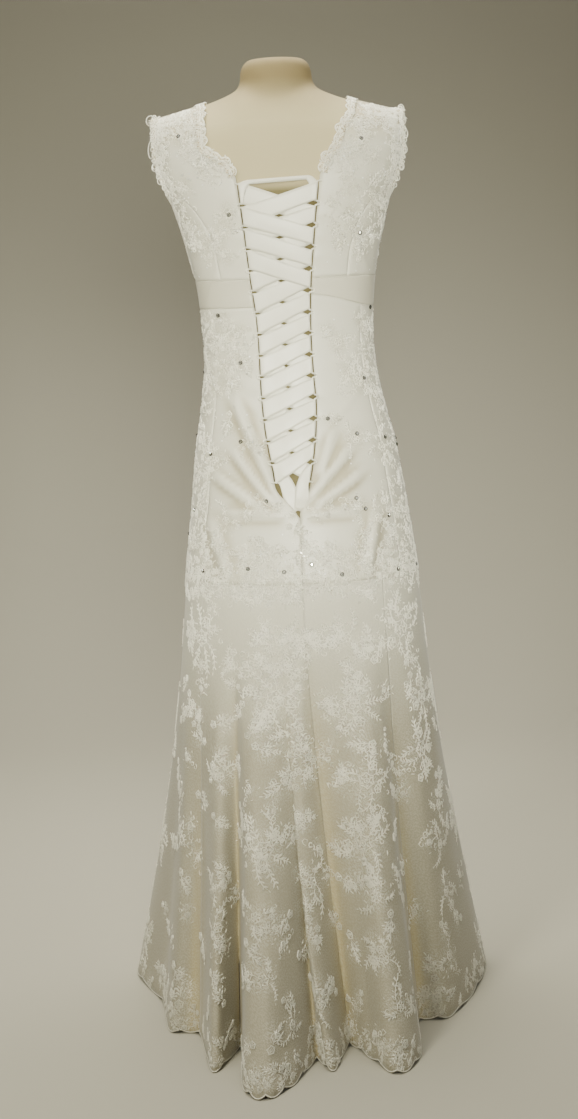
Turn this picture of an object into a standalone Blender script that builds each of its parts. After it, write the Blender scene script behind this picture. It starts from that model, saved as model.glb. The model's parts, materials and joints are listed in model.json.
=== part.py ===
"""A lace wedding dress with a laced back, standing on a limbless dress form.

Metres, +Z up. The front of the dress faces -Y and its train runs out to +Y.
The wearer's left is +X. The origin is on the floor, under the form's pole.

Every piece of cloth is a wall on one body surface, body_point(angle, level).
The angle goes round the body from the centre back, through the wearer's left
at 90 degrees, to the centre front at 180. The level is the height up to the
armholes. Above them the rings close over the shoulders, and the level runs
on to SHOULDER_LEVEL at the shoulder seam.
"""

import bpy
import numpy as np

# Cloth walls and the gaps between pieces
CLOTH = 0.0015
BAND_CLOTH = 0.0021
LINING_CLOTH = 0.0012
EDGING_CLOTH = 0.0011
RIBBON_CLOTH = 0.0008
GAP = 0.0003
HALF_SEAM = GAP / 2

# Heights of the main lines
SKIRT_TOP = 0.690
BAND_BOTTOM = 1.1205
BAND_MIDDLE = 1.147
BAND_TOP = 1.164
ARMHOLE = 1.290
SHOULDER_LEVEL = 1.440
LACING_TOP = 1.318
LINING_HEM = 0.042

# Shoulders: the seam falls from the neck to the tip and runs just ahead of the middle
SHOULDER_HALF = 0.200
SHOULDER_TIP_Z = 1.417
SHOULDER_SLOPE = 0.24
SHOULDER_Y = -0.005
NECK_FLARE = 0.012
NECK_FLARE_LENGTH = 0.030
BACK_ROUNDING = 3.2
FRONT_ROUNDING = 2.2

# Dress form and stand
NECK_RADIUS = 0.0575
NECK_TOP = 1.5075
NECK_Y = -0.008
FORM_CLEARANCE = 0.0038
FORM_SHOULDER_CLEARANCE = 0.0006
FORM_HALF_WIDTH = 0.178
FORM_BOTTOM = 0.740
POLE_RADIUS = 0.016
BASE_RADIUS = 0.170
BASE_HEIGHT = 0.022
BASE_BOSS_HEIGHT = 0.060

# Lacing: one flat satin ribbon through a row of cord loops on each edge
LOOP_PITCH = 0.0333
LOOP_COUNT = 14
FIRST_FOLD = 1.2945
CORD_RADIUS = 0.0012
CORD_INSET = 0.0058
CORD_ON_PANEL = 0.0035
RIBBON_END_WIDTH = 0.0245
RIBBON_MIDDLE_WIDTH = 0.0300
RIBBON_LOWEST = RIBBON_CLOTH / 2 + 0.0006
TURN_RADIUS = CORD_RADIUS + 0.0007 + RIBBON_CLOTH / 2
CORD_LEVEL = RIBBON_LOWEST + TURN_RADIUS
CORD_SEWN_LEVEL = BAND_CLOTH + CORD_RADIUS + 0.0010
RIBBON_LAYER = RIBBON_CLOTH + 0.0005
RIBBON_HIGHEST = RIBBON_LOWEST + 2 * TURN_RADIUS

# Hem of the skirt: smooth outline at the floor, and how the flare grows towards it
HEM_HALF_WIDTH = 0.286
HEM_BACK = 0.400
HEM_FRONT = 0.262
HEM_CENTRE_X = -0.004
SIDE_FLARE_POWER = 1.12
BACK_FLARE_POWER = 1.35
FOLD_POWER = 1.25
LINING_GAP = 0.0008
LINING_DROP = 0.016
HEM_SCALLOP = 0.006

# Scalloped corded edging at the neck and armholes
EDGING_INSIDE = 0.010
EDGING_OUTSIDE = 0.002
EDGING_GAP = 0.0011
EDGING_SCALLOP = 0.0045
SCALLOP_PITCH = 0.024
POINTS_PER_SCALLOP = 3


def table(columns, rows):
    """The named columns of a short table, each one an array."""
    return dict(zip(columns, np.array(rows, float).T))


# Sections of the fitted part: half width, depths behind and before, sideways place of the middle,
# and fullness, the exponent of the section's rounded outline
BODY = table(
    ("height", "half_width", "back", "front", "centre_x", "fullness"),
    [
        (0.690, 0.188, 0.150, 0.140, -0.011, 2.10),
        (0.750, 0.180, 0.141, 0.129, -0.011, 2.12),
        (0.800, 0.173, 0.132, 0.119, -0.011, 2.15),
        (0.850, 0.166, 0.123, 0.111, -0.010, 2.18),
        (0.900, 0.159, 0.113, 0.106, -0.009, 2.20),
        (0.950, 0.148, 0.102, 0.102, -0.007, 2.20),
        (1.000, 0.139, 0.093, 0.099, -0.005, 2.20),
        (1.050, 0.134, 0.088, 0.098, -0.004, 2.20),
        (1.100, 0.136, 0.089, 0.101, -0.003, 2.20),
        (1.150, 0.140, 0.093, 0.106, -0.003, 2.25),
        (1.200, 0.149, 0.098, 0.110, -0.002, 2.30),
        (1.250, 0.161, 0.102, 0.112, -0.001, 2.45),
        (1.290, 0.172, 0.104, 0.110, 0.000, 2.70),
    ],
)
SHOULDER_FULLNESS = 3.0

# Cups at the front: two soft mounds on a general figure
CUP_X = 0.076
CUP_HEIGHT = 1.218
CUP_OUT = 0.027
CUP_WIDTH = 0.047
CUP_RISE = 0.052
CUP_FALL = 0.036

# Edges of the laced opening at the back, as distances from x = 0, down to the point of the V
OPENING_LEFT = table(
    ("level", "x"),
    [
        (0.792, -0.009),
        (0.808, 0.000),
        (0.829, 0.020),
        (0.868, 0.030),
        (0.915, 0.038),
        (0.977, 0.043),
        (1.039, 0.044),
        (1.101, 0.046),
        (1.164, 0.053),
        (1.241, 0.060),
        (1.318, 0.068),
    ],
)
OPENING_RIGHT = table(
    ("level", "x"),
    [
        (0.792, -0.009),
        (0.808, -0.014),
        (0.820, -0.021),
        (0.850, -0.030),
        (0.881, -0.036),
        (0.927, -0.042),
        (0.973, -0.044),
        (1.005, -0.042),
        (1.067, -0.040),
        (1.144, -0.042),
        (1.206, -0.048),
        (1.267, -0.055),
        (1.318, -0.062),
    ],
)

# Lower edge of the band round the right side, which sits a little askew behind
BAND_EDGE_RIGHT = table(
    ("degrees", "level"),
    [
        (-180, 1.1205),
        (-120, 1.1180),
        (-90, 1.1165),
        (-66, 1.1170),
        (-48, 1.1230),
        (-29, 1.1330),
        (-14, 1.1400),
        (0, 1.1420),
    ],
)

# Necklines, from the top of the lacing to the shoulder seam, and the front one from its lowest point
NECKLINE_LEFT = table(
    ("level", "x"),
    [(1.318, 0.069), (1.340, 0.080), (1.354, 0.097), (1.366, 0.112), (1.390, 0.115), (1.440, 0.117)],
)
NECKLINE_RIGHT = table(
    ("level", "x"),
    [(1.318, 0.063), (1.341, 0.070), (1.362, 0.086), (1.387, 0.095), (1.412, 0.109), (1.440, 0.115)],
)
NECKLINE_FRONT = table(
    ("level", "x"),
    [
        (1.264, 0.000),
        (1.268, 0.026),
        (1.285, 0.052),
        (1.310, 0.076),
        (1.345, 0.095),
        (1.390, 0.109),
        (1.440, 0.116),
    ],
)
FRONT_NECK_LEVEL = 1.264

# Armhole edges, as angles away from the centre back and from the centre front
ARMHOLE_BACK = table(
    ("level", "degrees"),
    [(1.290, 90), (1.296, 80), (1.306, 74), (1.325, 71), (1.360, 70), (1.400, 70), (1.440, 68)],
)
ARMHOLE_FRONT = table(
    ("level", "degrees"),
    [(1.290, 90), (1.296, 75), (1.310, 61), (1.330, 54), (1.360, 51), (1.395, 55), (1.422, 62), (1.440, 68)],
)

# Seams that shape the bodice, from the band to the armholes, and those of the hip panels
PRINCESS_BACK = table(
    ("level", "x"),
    [(1.164, 0.098), (1.205, 0.104), (1.245, 0.117), (1.275, 0.136), (1.300, 0.160), (1.325, 0.179)],
)
PRINCESS_FRONT = table(
    ("level", "x"),
    [(1.164, 0.070), (1.205, 0.077), (1.235, 0.081), (1.265, 0.092), (1.295, 0.115), (1.330, 0.150)],
)
PRINCESS_BACK_TOP = 1.325
PRINCESS_FRONT_TOP = 1.330
HIP_SEAM_BACK = 56.0
HIP_SEAM_FRONT = 122.0

# Pull folds at the back of the hips, each a soft ridge along a line that ends near the point of the V
PULL_FOLDS = table(
    ("start_x", "start_z", "end_x", "end_z", "rise", "half_width"),
    [
        (0.088, 0.985, 0.024, 0.826, 0.0060, 0.0105),
        (0.092, 0.900, 0.034, 0.818, 0.0055, 0.0085),
        (0.125, 0.862, 0.050, 0.808, 0.0040, 0.0090),
        (0.110, 0.800, 0.020, 0.797, 0.0045, 0.0070),
        (-0.094, 0.896, -0.026, 0.822, 0.0060, 0.0095),
        (-0.112, 0.858, -0.040, 0.813, 0.0050, 0.0085),
        (-0.070, 0.925, -0.046, 0.860, 0.0040, 0.0080),
        (-0.105, 0.800, -0.026, 0.796, 0.0045, 0.0070),
        (-0.132, 0.800, -0.112, 0.705, 0.0060, 0.0110),
        (0.130, 0.790, 0.108, 0.705, 0.0050, 0.0110),
    ],
)

# Folds of the skirt, in order round the hem: where each leaves the hip seam, where its crest or
# hollow meets the floor, and the height at which it starts
FOLD_COLUMNS = ("hip_degrees", "hem_x", "hem_y", "start")
FOLDS = [
    ("centre_back_seam", 0, -0.053, 0.322, 0.62),
    ("centre_pleat", 4, -0.027, 0.415, 0.27),
    ("centre_groove", 9, -0.002, 0.375, 0.56),
    ("big_lobe_inner", 15, 0.034, 0.460, 0.58),
    ("big_lobe_crest", 22, 0.074, 0.508, 0.60),
    ("big_lobe_edge", 29, 0.105, 0.468, 0.60),
    ("left_groove", 35, 0.113, 0.318, 0.60),
    ("second_lobe", 45, 0.152, 0.402, 0.57),
    ("second_groove", 57, 0.178, 0.258, 0.56),
    ("side_lobe", 68, 0.225, 0.235, 0.56),
    ("side_groove", 80, 0.244, 0.112, 0.52),
    ("left_lobe", 97, 0.294, -0.035, 0.50),
    ("left_front_groove", 116, 0.243, -0.140, 0.50),
    ("left_front_lobe", 134, 0.214, -0.232, 0.50),
    ("front_groove_left", 149, 0.142, -0.218, 0.48),
    ("front_lobe_left", 163, 0.084, -0.284, 0.50),
    ("front_groove", 176, 0.022, -0.250, 0.48),
    ("front_lobe", 190, -0.048, -0.288, 0.50),
    ("front_groove_right", 205, -0.112, -0.232, 0.48),
    ("right_front_lobe", 221, -0.186, -0.252, 0.50),
    ("right_front_groove", 240, -0.232, -0.150, 0.50),
    ("right_lobe", 262, -0.296, -0.045, 0.50),
    ("right_side", 281, -0.272, 0.095, 0.50),
    ("outer_right_lobe", 302, -0.216, 0.222, 0.54),
    ("right_groove", 319, -0.166, 0.238, 0.60),
    ("right_lobe_edge", 328, -0.158, 0.372, 0.60),
    ("right_lobe_crest", 336, -0.121, 0.436, 0.60),
    ("right_lobe_inner", 347, -0.084, 0.372, 0.58),
]
FOLD_NAMES = [row[0] for row in FOLDS]
FOLD = table(FOLD_COLUMNS, [row[1:] for row in FOLDS])

# The underskirt passes straight behind the overskirt's narrow centre pleat
UNDER_FOLD = {name: column.copy() for name, column in FOLD.items()}
for column in UNDER_FOLD.values():
    column[1] = (column[0] + column[2]) / 2

# Where the sections of the shoulders, bodice, hips and skirt are taken
SHOULDER_SHARES = (0, 0.04, 0.11, 0.20, 0.31, 0.43, 0.55, 0.67, 0.78, 0.87, 0.94, 0.98, 1)
FORM_SHOULDER_SHARES = (0.15, 0.32, 0.48, 0.63, 0.76, 0.87, 0.95, 1)
BODICE_LEVELS = (1.164, 1.190, 1.215, 1.240, 1.264, 1.277)
HIP_LEVELS = (0.690, 0.735, 0.785, 0.808, 0.830, 0.855, 0.885, 0.920, 0.965, 1.010, 1.065)
SKIRT_HEIGHTS = (0.690, 0.640, 0.580, 0.500, 0.410, 0.300, 0.180, 0.060)
LINING_HEIGHTS = (0.690, 0.640, 0.580, 0.410, 0.210)

# Colours of the sub-parts, linear red, green and blue
IVORY_SATIN = (0.74, 0.71, 0.62)
IVORY_LACE = (0.70, 0.68, 0.59)
FORM_CLOTH = (0.62, 0.55, 0.40)
STAND_METAL = (0.30, 0.30, 0.31)


def smooth(x, xs, ys):
    """A smooth curve through a table's points, each span a cubic, held level beyond its ends."""
    xs = np.asarray(xs, float)
    ys = np.asarray(ys, float)
    x = np.clip(x, xs[0], xs[-1])
    slopes = np.gradient(ys, xs)
    i = np.clip(np.searchsorted(xs, x, side="right") - 1, 0, len(xs) - 2)
    span = xs[i + 1] - xs[i]
    t = (x - xs[i]) / span
    return (
        ys[i] * (1 + 2 * t) * (1 - t) ** 2
        + slopes[i] * span * t * (1 - t) ** 2
        + ys[i + 1] * t**2 * (3 - 2 * t)
        + slopes[i + 1] * span * t**2 * (t - 1)
    )


def round_curve(t, ys, turn=0.0):
    """A smooth closed curve through evenly spaced values. A turn is added each time round."""
    ys = np.asarray(ys, float)
    count = len(ys)
    base = np.floor(t).astype(int)
    f = t - base

    def value(k):
        return ys[k % count] + turn * (k // count)

    before, here, there, after = (value(base + k) for k in (-1, 0, 1, 2))
    bend = 2 * before - 5 * here + 4 * there - after
    twist = 3 * (here - there) + after - before
    return here + 0.5 * f * (there - before + f * (bend + f * twist))


def shoulder_height(x):
    """Height of the shoulder seam: a straight slope that flares up beside the neck."""
    x = np.maximum(np.abs(x), NECK_RADIUS - 0.004)
    flare = NECK_FLARE * np.exp(-(x - NECK_RADIUS) / NECK_FLARE_LENGTH)
    return SHOULDER_TIP_Z + SHOULDER_SLOPE * (SHOULDER_HALF - x) + flare


def ring_at(level):
    """Half width, back and front depth, middle and fullness of the ring at a level."""
    level = np.asarray(level, float)
    low = np.minimum(level, ARMHOLE)
    ring = {name: smooth(low, BODY["height"], BODY[name]) for name in BODY if name != "height"}
    up = np.clip((level - ARMHOLE) / (SHOULDER_LEVEL - ARMHOLE), 0, 1)
    spread = np.sin(np.minimum(up / 0.6, 1) * np.pi / 2)
    ring["half_width"] = ring["half_width"] + (SHOULDER_HALF - BODY["half_width"][-1]) * spread
    ring["back"] = ring["back"] * np.sqrt(np.maximum(1 - up**BACK_ROUNDING, 0))
    ring["front"] = ring["front"] * np.sqrt(np.maximum(1 - up**FRONT_ROUNDING, 0))
    ring["fullness"] = ring["fullness"] + (SHOULDER_FULLNESS - BODY["fullness"][-1]) * spread
    ring["middle_y"] = SHOULDER_Y * up
    ring["up"] = up
    return ring


def cups(x, z):
    """How far the front stands out over the cups: two round mounds, longer above than below."""
    reach = np.where(z > CUP_HEIGHT, CUP_RISE, CUP_FALL)
    high = np.exp(-(((z - CUP_HEIGHT) / reach) ** 2))
    wide = np.exp(-(((np.abs(x) - CUP_X) / CUP_WIDTH) ** 2)) + 0.25 * np.exp(-((x / CUP_WIDTH) ** 2))
    return CUP_OUT * high * wide


def body_ring_point(angle, level, clear=0.0, clear_top=0.0, widest=1.0):
    """A point of the plain body: a rounded ring, drawn in by a clearance and cut off at a width."""
    angle = np.asarray(angle, float)
    ring = ring_at(level)
    power = 2 / ring["fullness"]
    across = np.sign(np.sin(angle)) * np.abs(np.sin(angle)) ** power
    along = np.sign(np.cos(angle)) * np.abs(np.cos(angle)) ** power
    x = ring["centre_x"] + np.clip((ring["half_width"] - clear) * across, -widest, widest)
    shrink = clear / BODY["back"][-1]
    depth = np.where(along > 0, ring["back"], ring["front"]) * (1 - shrink)
    y = ring["middle_y"] + depth * along
    top = shoulder_height(x) - clear_top
    z = np.where(ring["up"] > 0, ARMHOLE + (top - ARMHOLE) * ring["up"], level)
    y = y - np.where(along < 0, cups(x, z) * np.abs(along) ** 0.5, 0)
    return np.stack(np.broadcast_arrays(x, y, z), -1)


def normals_of(surface, a, b, step_a, step_b):
    """Unit outward normals of surface(a, b), from its slopes along a and b."""
    along_a = surface(a + step_a, b) - surface(a - step_a, b)
    along_b = surface(a, b + step_b) - surface(a, b - step_b)
    normal = np.cross(along_a, along_b)
    return normal / np.linalg.norm(normal, axis=-1, keepdims=True)


def body_normal(angle, level):
    """Outward normal of the plain body. At the shoulder seam it is taken just below."""
    angle, level = np.broadcast_arrays(np.asarray(angle, float), np.asarray(level, float))
    level = np.minimum(level, SHOULDER_LEVEL - 2e-5)
    return -normals_of(body_ring_point, angle, level, 1e-3, 1e-5)


def pull_folds(x, z):
    """Height of the soft ridges that the lacing pulls into the back of the hips."""
    rise = np.zeros(np.broadcast(x, z).shape)
    for x0, z0, x1, z1, height, width in zip(*PULL_FOLDS.values()):
        length = np.hypot(x1 - x0, z1 - z0)
        ux, uz = (x1 - x0) / length, (z1 - z0) / length
        along = ((x - x0) * ux + (z - z0) * uz) / length
        off = (x - x0) * uz - (z - z0) * ux
        ends = np.exp(-((np.maximum(np.abs(along - 0.55) - 0.35, 0) / 0.16) ** 2))
        rise = rise + height * ends * np.exp(-((off / width) ** 2))
    return rise


def body_point(angle, level, out=0.0):
    """A point of the dress's inner face, with the pull folds, moved out by a distance."""
    angle, level = np.broadcast_arrays(np.asarray(angle, float), np.asarray(level, float))
    point = body_ring_point(angle, level)
    behind = np.clip(np.cos(angle) * 4, 0, 1)
    rise = pull_folds(point[..., 0], point[..., 2]) * behind
    return point + body_normal(angle, level) * (rise + out)[..., None]


def angle_of(x, level, front=False):
    """The angle at which the ring of a level has this x, behind or in front."""
    ring = ring_at(level)
    share = (np.asarray(x, float) - ring["centre_x"]) / ring["half_width"]
    angle = np.sign(share) * np.arcsin(np.clip(np.abs(share), 0, 1) ** (ring["fullness"] / 2))
    return np.pi - angle if front else angle


def shoulder_levels(shares):
    """Levels at these shares of the way from the armholes up to the shoulder seam."""
    return ARMHOLE + (SHOULDER_LEVEL - ARMHOLE) * np.array(shares)


def skirt_point(t, height, fold=FOLD):
    """A point of the skirt. t counts the folds round the hem.

    A smooth flared section grows from the hip seam to the hem's smooth outline,
    and each fold leaves it for its own crest or hollow from its own start down.
    """
    t, height = np.broadcast_arrays(np.asarray(t, float), np.asarray(height, float))
    angle = np.radians(round_curve(t, fold["hip_degrees"], 360))
    start = round_curve(t, fold["start"])
    fall = np.clip(1 - height / SKIRT_TOP, 0, None)
    power = SIDE_FLARE_POWER + (BACK_FLARE_POWER - SIDE_FLARE_POWER) * np.clip(np.cos(angle), 0, 1)
    grow = fall**power
    power_x = 2 / BODY["fullness"][0]
    across = np.sign(np.sin(angle)) * np.abs(np.sin(angle)) ** power_x
    along = np.sign(np.cos(angle)) * np.abs(np.cos(angle)) ** power_x
    behind = along > 0
    hem_depth = np.where(behind, HEM_BACK, HEM_FRONT)
    top_depth = np.where(behind, BODY["back"][0], BODY["front"][0])
    hem_x = HEM_CENTRE_X + HEM_HALF_WIDTH * across
    hem_y = hem_depth * along
    top_x = BODY["centre_x"][0] + BODY["half_width"][0] * across
    top_y = top_depth * along
    depth = np.clip(1 - height / start, 0, None) ** FOLD_POWER
    sag = 0.006 * np.sin(np.pi * np.clip(fall, 0, 1)) * np.cos(angle - np.pi / 2)
    x = top_x + (hem_x - top_x) * grow + (round_curve(t, fold["hem_x"]) - hem_x) * depth - sag
    y = top_y + (hem_y - top_y) * grow + (round_curve(t, fold["hem_y"]) - hem_y) * depth
    return np.stack((x, y, height + 0 * x), -1)


def skirt_normal(t, height, fold=FOLD):
    """Outward normal of the skirt."""
    t, height = np.broadcast_arrays(np.asarray(t, float), np.asarray(height, float))
    height = np.minimum(height, SKIRT_TOP - 1e-4)
    return -normals_of(lambda a, b: skirt_point(a, b, fold), t, height, 2e-2, 1e-4)


def material(name, colour, roughness, metallic=0.0):
    """A plain material with this colour and finish, made once."""
    made = bpy.data.materials.get(name)
    if made is None:
        made = bpy.data.materials.new(name)
        made.use_nodes = True
        shader = made.node_tree.nodes["Principled BSDF"]
        shader.inputs["Base Color"].default_value = (*colour, 1)
        shader.inputs["Roughness"].default_value = roughness
        shader.inputs["Metallic"].default_value = metallic
        made.diffuse_color = (*colour, 1)
    return made


def add_mesh(name, points, faces, look, collection):
    """An object with this mesh and material, in the collection."""
    mesh = bpy.data.meshes.new(name)
    mesh.from_pydata([tuple(p) for p in points], [], [tuple(f) for f in faces])
    mesh.update()
    mesh.materials.append(look)
    mesh.shade_smooth()
    mesh.set_sharp_from_angle(angle=np.radians(35))
    made = bpy.data.objects.new(name, mesh)
    collection.objects.link(made)
    return made


def drawn_in(points, axis, first=True, last=True):
    """The grid with its edge rows on one axis pulled in by half a seam gap."""
    points = np.moveaxis(points.copy(), axis, 0)
    for end, following, wanted in ((0, 1, first), (-1, -2, last)):
        if wanted:
            step = points[following] - points[end]
            length = np.linalg.norm(step, axis=-1, keepdims=True)
            points[end] += step * HALF_SEAM / np.maximum(length, HALF_SEAM)
    return np.moveaxis(points, 0, axis)


def halved(quads, points):
    """Each quad as two triangles, on either side of its shorter diagonal."""
    a, b, c, d = (points[quads[:, k]] for k in range(4))
    first = np.linalg.norm(c - a, axis=1) <= np.linalg.norm(d - b, axis=1)
    halves = np.where(first[:, None], quads[:, [0, 1, 2, 0, 2, 3]], quads[:, [0, 1, 3, 1, 2, 3]])
    return halves.reshape(-1, 3)


def wall(name, inner, outer, look, collection, ring=False):
    """A closed wall between two grids of points, with a rim round its edges.

    The grids are rows by columns. With ring set, the last row joins the first. Both
    skins are cut into triangles the same way, so a twisted wall keeps its thickness.
    """
    rows, columns = inner.shape[:2]
    index = np.arange(rows * columns).reshape(rows, columns)
    if ring:
        index = np.vstack((index, index[:1]))
    a, b, c, d = index[:-1, :-1], index[:-1, 1:], index[1:, 1:], index[1:, :-1]
    inside = halved(np.stack((a, b, c, d), -1).reshape(-1, 4), inner.reshape(-1, 3))
    shift = rows * columns
    outside = inside[:, ::-1] + shift
    rims = []
    edges = [(index[:, 0], 1), (index[:, -1], -1)]
    if not ring:
        edges += [(index[0], -1), (index[-1], 1)]
    for edge, way in edges:
        for first, second in zip(edge[:-1], edge[1:]):
            rim = (first, second, second + shift, first + shift)
            rims.append(rim[::way])
    faces = [*map(tuple, inside), *map(tuple, outside), *rims]
    return add_mesh(name, np.vstack((inner.reshape(-1, 3), outer.reshape(-1, 3))), faces, look, collection)


def panel(name, levels, start, end, columns, look, collection, thickness=CLOTH, top=None, bottom=None):
    """A bodice or hip panel: a wall between two angles at each level, a seam gap short on each edge.

    start and end give the angle of an edge at each level. top and bottom, where given,
    are functions of the angle that shift the first or last row of levels.
    """
    levels = np.asarray(levels, float)
    share = np.linspace(0, 1, columns + 1)
    angles = start(levels)[:, None] + (end(levels) - start(levels))[:, None] * share
    grid = levels[:, None] + 0 * angles
    if bottom is not None:
        grid[0] = bottom(angles[0])
    if top is not None:
        grid[-1] = top(angles[-1])
    inner = body_point(angles, grid)
    outer = body_point(angles, grid, thickness)
    step = drawn_in(drawn_in(inner, 0), 1) - inner
    return wall(name, inner + step, outer + step, look, collection)


def at(angle):
    """An edge that stays at one angle, in degrees."""
    return lambda level: np.radians(angle) + 0 * np.asarray(level, float)


def band_bottom(angle):
    """Height of the band's lower edge: level on the left, and rising behind on the right."""
    degrees = np.degrees(angle)
    right = smooth(degrees, BAND_EDGE_RIGHT["degrees"], BAND_EDGE_RIGHT["level"])
    return np.where(degrees < 0, right, BAND_BOTTOM)


def opening_angle(level, side):
    """Angle of the laced opening's edge, or of the centre back seam below the V."""
    edge = OPENING_LEFT if side > 0 else OPENING_RIGHT
    level = np.asarray(level, float)
    x = smooth(level, edge["level"], edge["x"])
    seam = ring_at(level)["centre_x"]
    return np.where(level < edge["level"][0], angle_of(seam, level), angle_of(x, level))


def back_edge(level, side):
    """Inner edge of a back bodice panel: the laced opening, then the neckline."""
    neck = NECKLINE_LEFT if side > 0 else NECKLINE_RIGHT
    above = angle_of(side * smooth(level, neck["level"], np.abs(neck["x"])), level)
    return np.where(np.asarray(level) > LACING_TOP, above, opening_angle(level, side))


def front_edge(level, side):
    """Inner edge of a front bodice panel: the centre front, then the neckline."""
    x = side * smooth(level, NECKLINE_FRONT["level"], NECKLINE_FRONT["x"])
    return round_the_front(angle_of(x, level, front=True), side)


def round_the_front(angle, side):
    """The angle counted from the centre back round this side, so that the right side's are negative."""
    return angle if side > 0 else angle - 2 * np.pi


def armhole_back(level, side):
    """The armhole's edge behind."""
    return side * np.radians(smooth(level, ARMHOLE_BACK["level"], ARMHOLE_BACK["degrees"]))


def armhole_front(level, side):
    """The armhole's edge in front."""
    return side * (np.pi - np.radians(smooth(level, ARMHOLE_FRONT["level"], ARMHOLE_FRONT["degrees"])))


def princess_back(level, side):
    """The curved seam from the band to the back of the armhole, and the armhole's edge above it."""
    seam = angle_of(side * smooth(level, PRINCESS_BACK["level"], PRINCESS_BACK["x"]), level)
    return np.where(np.asarray(level) > PRINCESS_BACK_TOP, armhole_back(level, side), seam)


def princess_front(level, side):
    """The curved seam from the band over the cup to the front of the armhole, and the edge above it."""
    x = side * smooth(level, PRINCESS_FRONT["level"], PRINCESS_FRONT["x"])
    seam = round_the_front(angle_of(x, level, front=True), side)
    return np.where(np.asarray(level) > PRINCESS_FRONT_TOP, armhole_front(level, side), seam)


def side_back_top(level, side):
    """The side seam, then the armhole's edge behind."""
    return np.where(np.asarray(level) > ARMHOLE, armhole_back(level, side), side * np.pi / 2)


def side_front_top(level, side):
    """The side seam, then the armhole's edge in front."""
    return np.where(np.asarray(level) > ARMHOLE, armhole_front(level, side), side * np.pi / 2)


def on_side(edge, side):
    """The edge as a function of the level alone, on this side."""
    return lambda level: edge(level, side)


def ordered(first, second, side):
    """The two edges in the order that keeps the panel's outside outwards."""
    return (first, second) if side > 0 else (second, first)


def build_bodice(look, collection):
    """Eight bodice panels: back, side back, side front and front on each side."""
    top = shoulder_levels(SHOULDER_SHARES)
    levels = np.unique(np.concatenate((BODICE_LEVELS, top)))
    narrow = {
        "back": np.append(levels[levels < PRINCESS_BACK_TOP], PRINCESS_BACK_TOP),
        "front": np.append(levels[levels < PRINCESS_FRONT_TOP], PRINCESS_FRONT_TOP),
    }
    back_levels = np.unique(np.append(levels, PRINCESS_BACK_TOP))
    front_levels = np.unique(np.append(levels, PRINCESS_FRONT_TOP))
    for word, side in (("left", 1), ("right", -1)):
        pieces = (
            ("bodice_back", back_levels, back_edge, princess_back, 6),
            ("bodice_side_back", narrow["back"], princess_back, side_back_top, 6),
            ("bodice_side_front", narrow["front"], side_front_top, princess_front, 6),
            ("bodice_front", front_levels, princess_front, front_edge, 6),
        )
        for name, rows, first, second, columns in pieces:
            start, end = ordered(on_side(first, side), on_side(second, side), side)
            panel(f"{name}_{word}", rows, start, end, columns, look, collection)


def build_band(look, collection):
    """The plain satin band under the bodice: two back lengths and one round the front."""
    lengths = (
        ("band_back_left", lambda level: opening_angle(level, 1), at(90), 9),
        ("band_front", at(90), at(270), 18),
        ("band_back_right", at(-90), lambda level: opening_angle(level, -1), 9),
    )
    for name, start, end, columns in lengths:
        rows = (BAND_BOTTOM, BAND_MIDDLE, BAND_TOP)
        panel(name, rows, start, end, columns, look, collection, BAND_CLOTH, bottom=signed(band_bottom))


def signed(edge):
    """The edge as a function of the angle counted from -180 to 180 degrees."""
    return lambda angle: edge((np.asarray(angle) + np.pi) % (2 * np.pi) - np.pi)


def build_hips(look, collection):
    """The fitted hip panels under the band: two backs with the V, two sides and a front."""
    levels = np.append(HIP_LEVELS, BAND_BOTTOM)
    panels = (
        ("hip_back_left", lambda level: opening_angle(level, 1), at(HIP_SEAM_BACK), 9),
        ("hip_side_left", at(HIP_SEAM_BACK), at(HIP_SEAM_FRONT), 6),
        ("hip_front", at(HIP_SEAM_FRONT), at(360 - HIP_SEAM_FRONT), 8),
        ("hip_side_right", at(-HIP_SEAM_FRONT), at(-HIP_SEAM_BACK), 6),
        ("hip_back_right", at(-HIP_SEAM_BACK), lambda level: opening_angle(level, -1), 9),
    )
    for name, start, end, columns in panels:
        panel(name, levels, start, end, columns, look, collection, top=signed(band_bottom))


def fold_index(name):
    """The number of a fold in the table."""
    return FOLD_NAMES.index(name)


def skirt_panel(
    name, first, last, heights, drop, thickness, scallop, look, collection, fold=FOLD, per_fold=3
):
    """One gore of the skirt between two folds, with its lower edge plain or scalloped.

    drop is a function of the height that gives how far the inner face lies within the skirt's
    surface, and per_fold is the number of columns from one fold to the next.
    """
    columns = (last - first) * per_fold
    t = first + np.arange(columns + 1) / per_fold
    grid = np.asarray(heights, float)[:, None] + 0 * t
    lowest = grid[-1].min()
    grid[-1] = lowest + scallop * (np.arange(columns + 1) % 2)
    ts = t + 0 * grid
    plain = skirt_point(ts, grid, fold)
    normal = skirt_normal(ts, grid, fold)
    inner = plain + normal * drop(grid)[..., None]
    outer = inner + normal * thickness
    step = drawn_in(drawn_in(plain, 0, last=False), 1) - plain
    inner = np.moveaxis(inner + step, 0, 1)
    outer = np.moveaxis(outer + step, 0, 1)
    return wall(name, inner[:, ::-1][::-1], outer[:, ::-1][::-1], look, collection)


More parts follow.
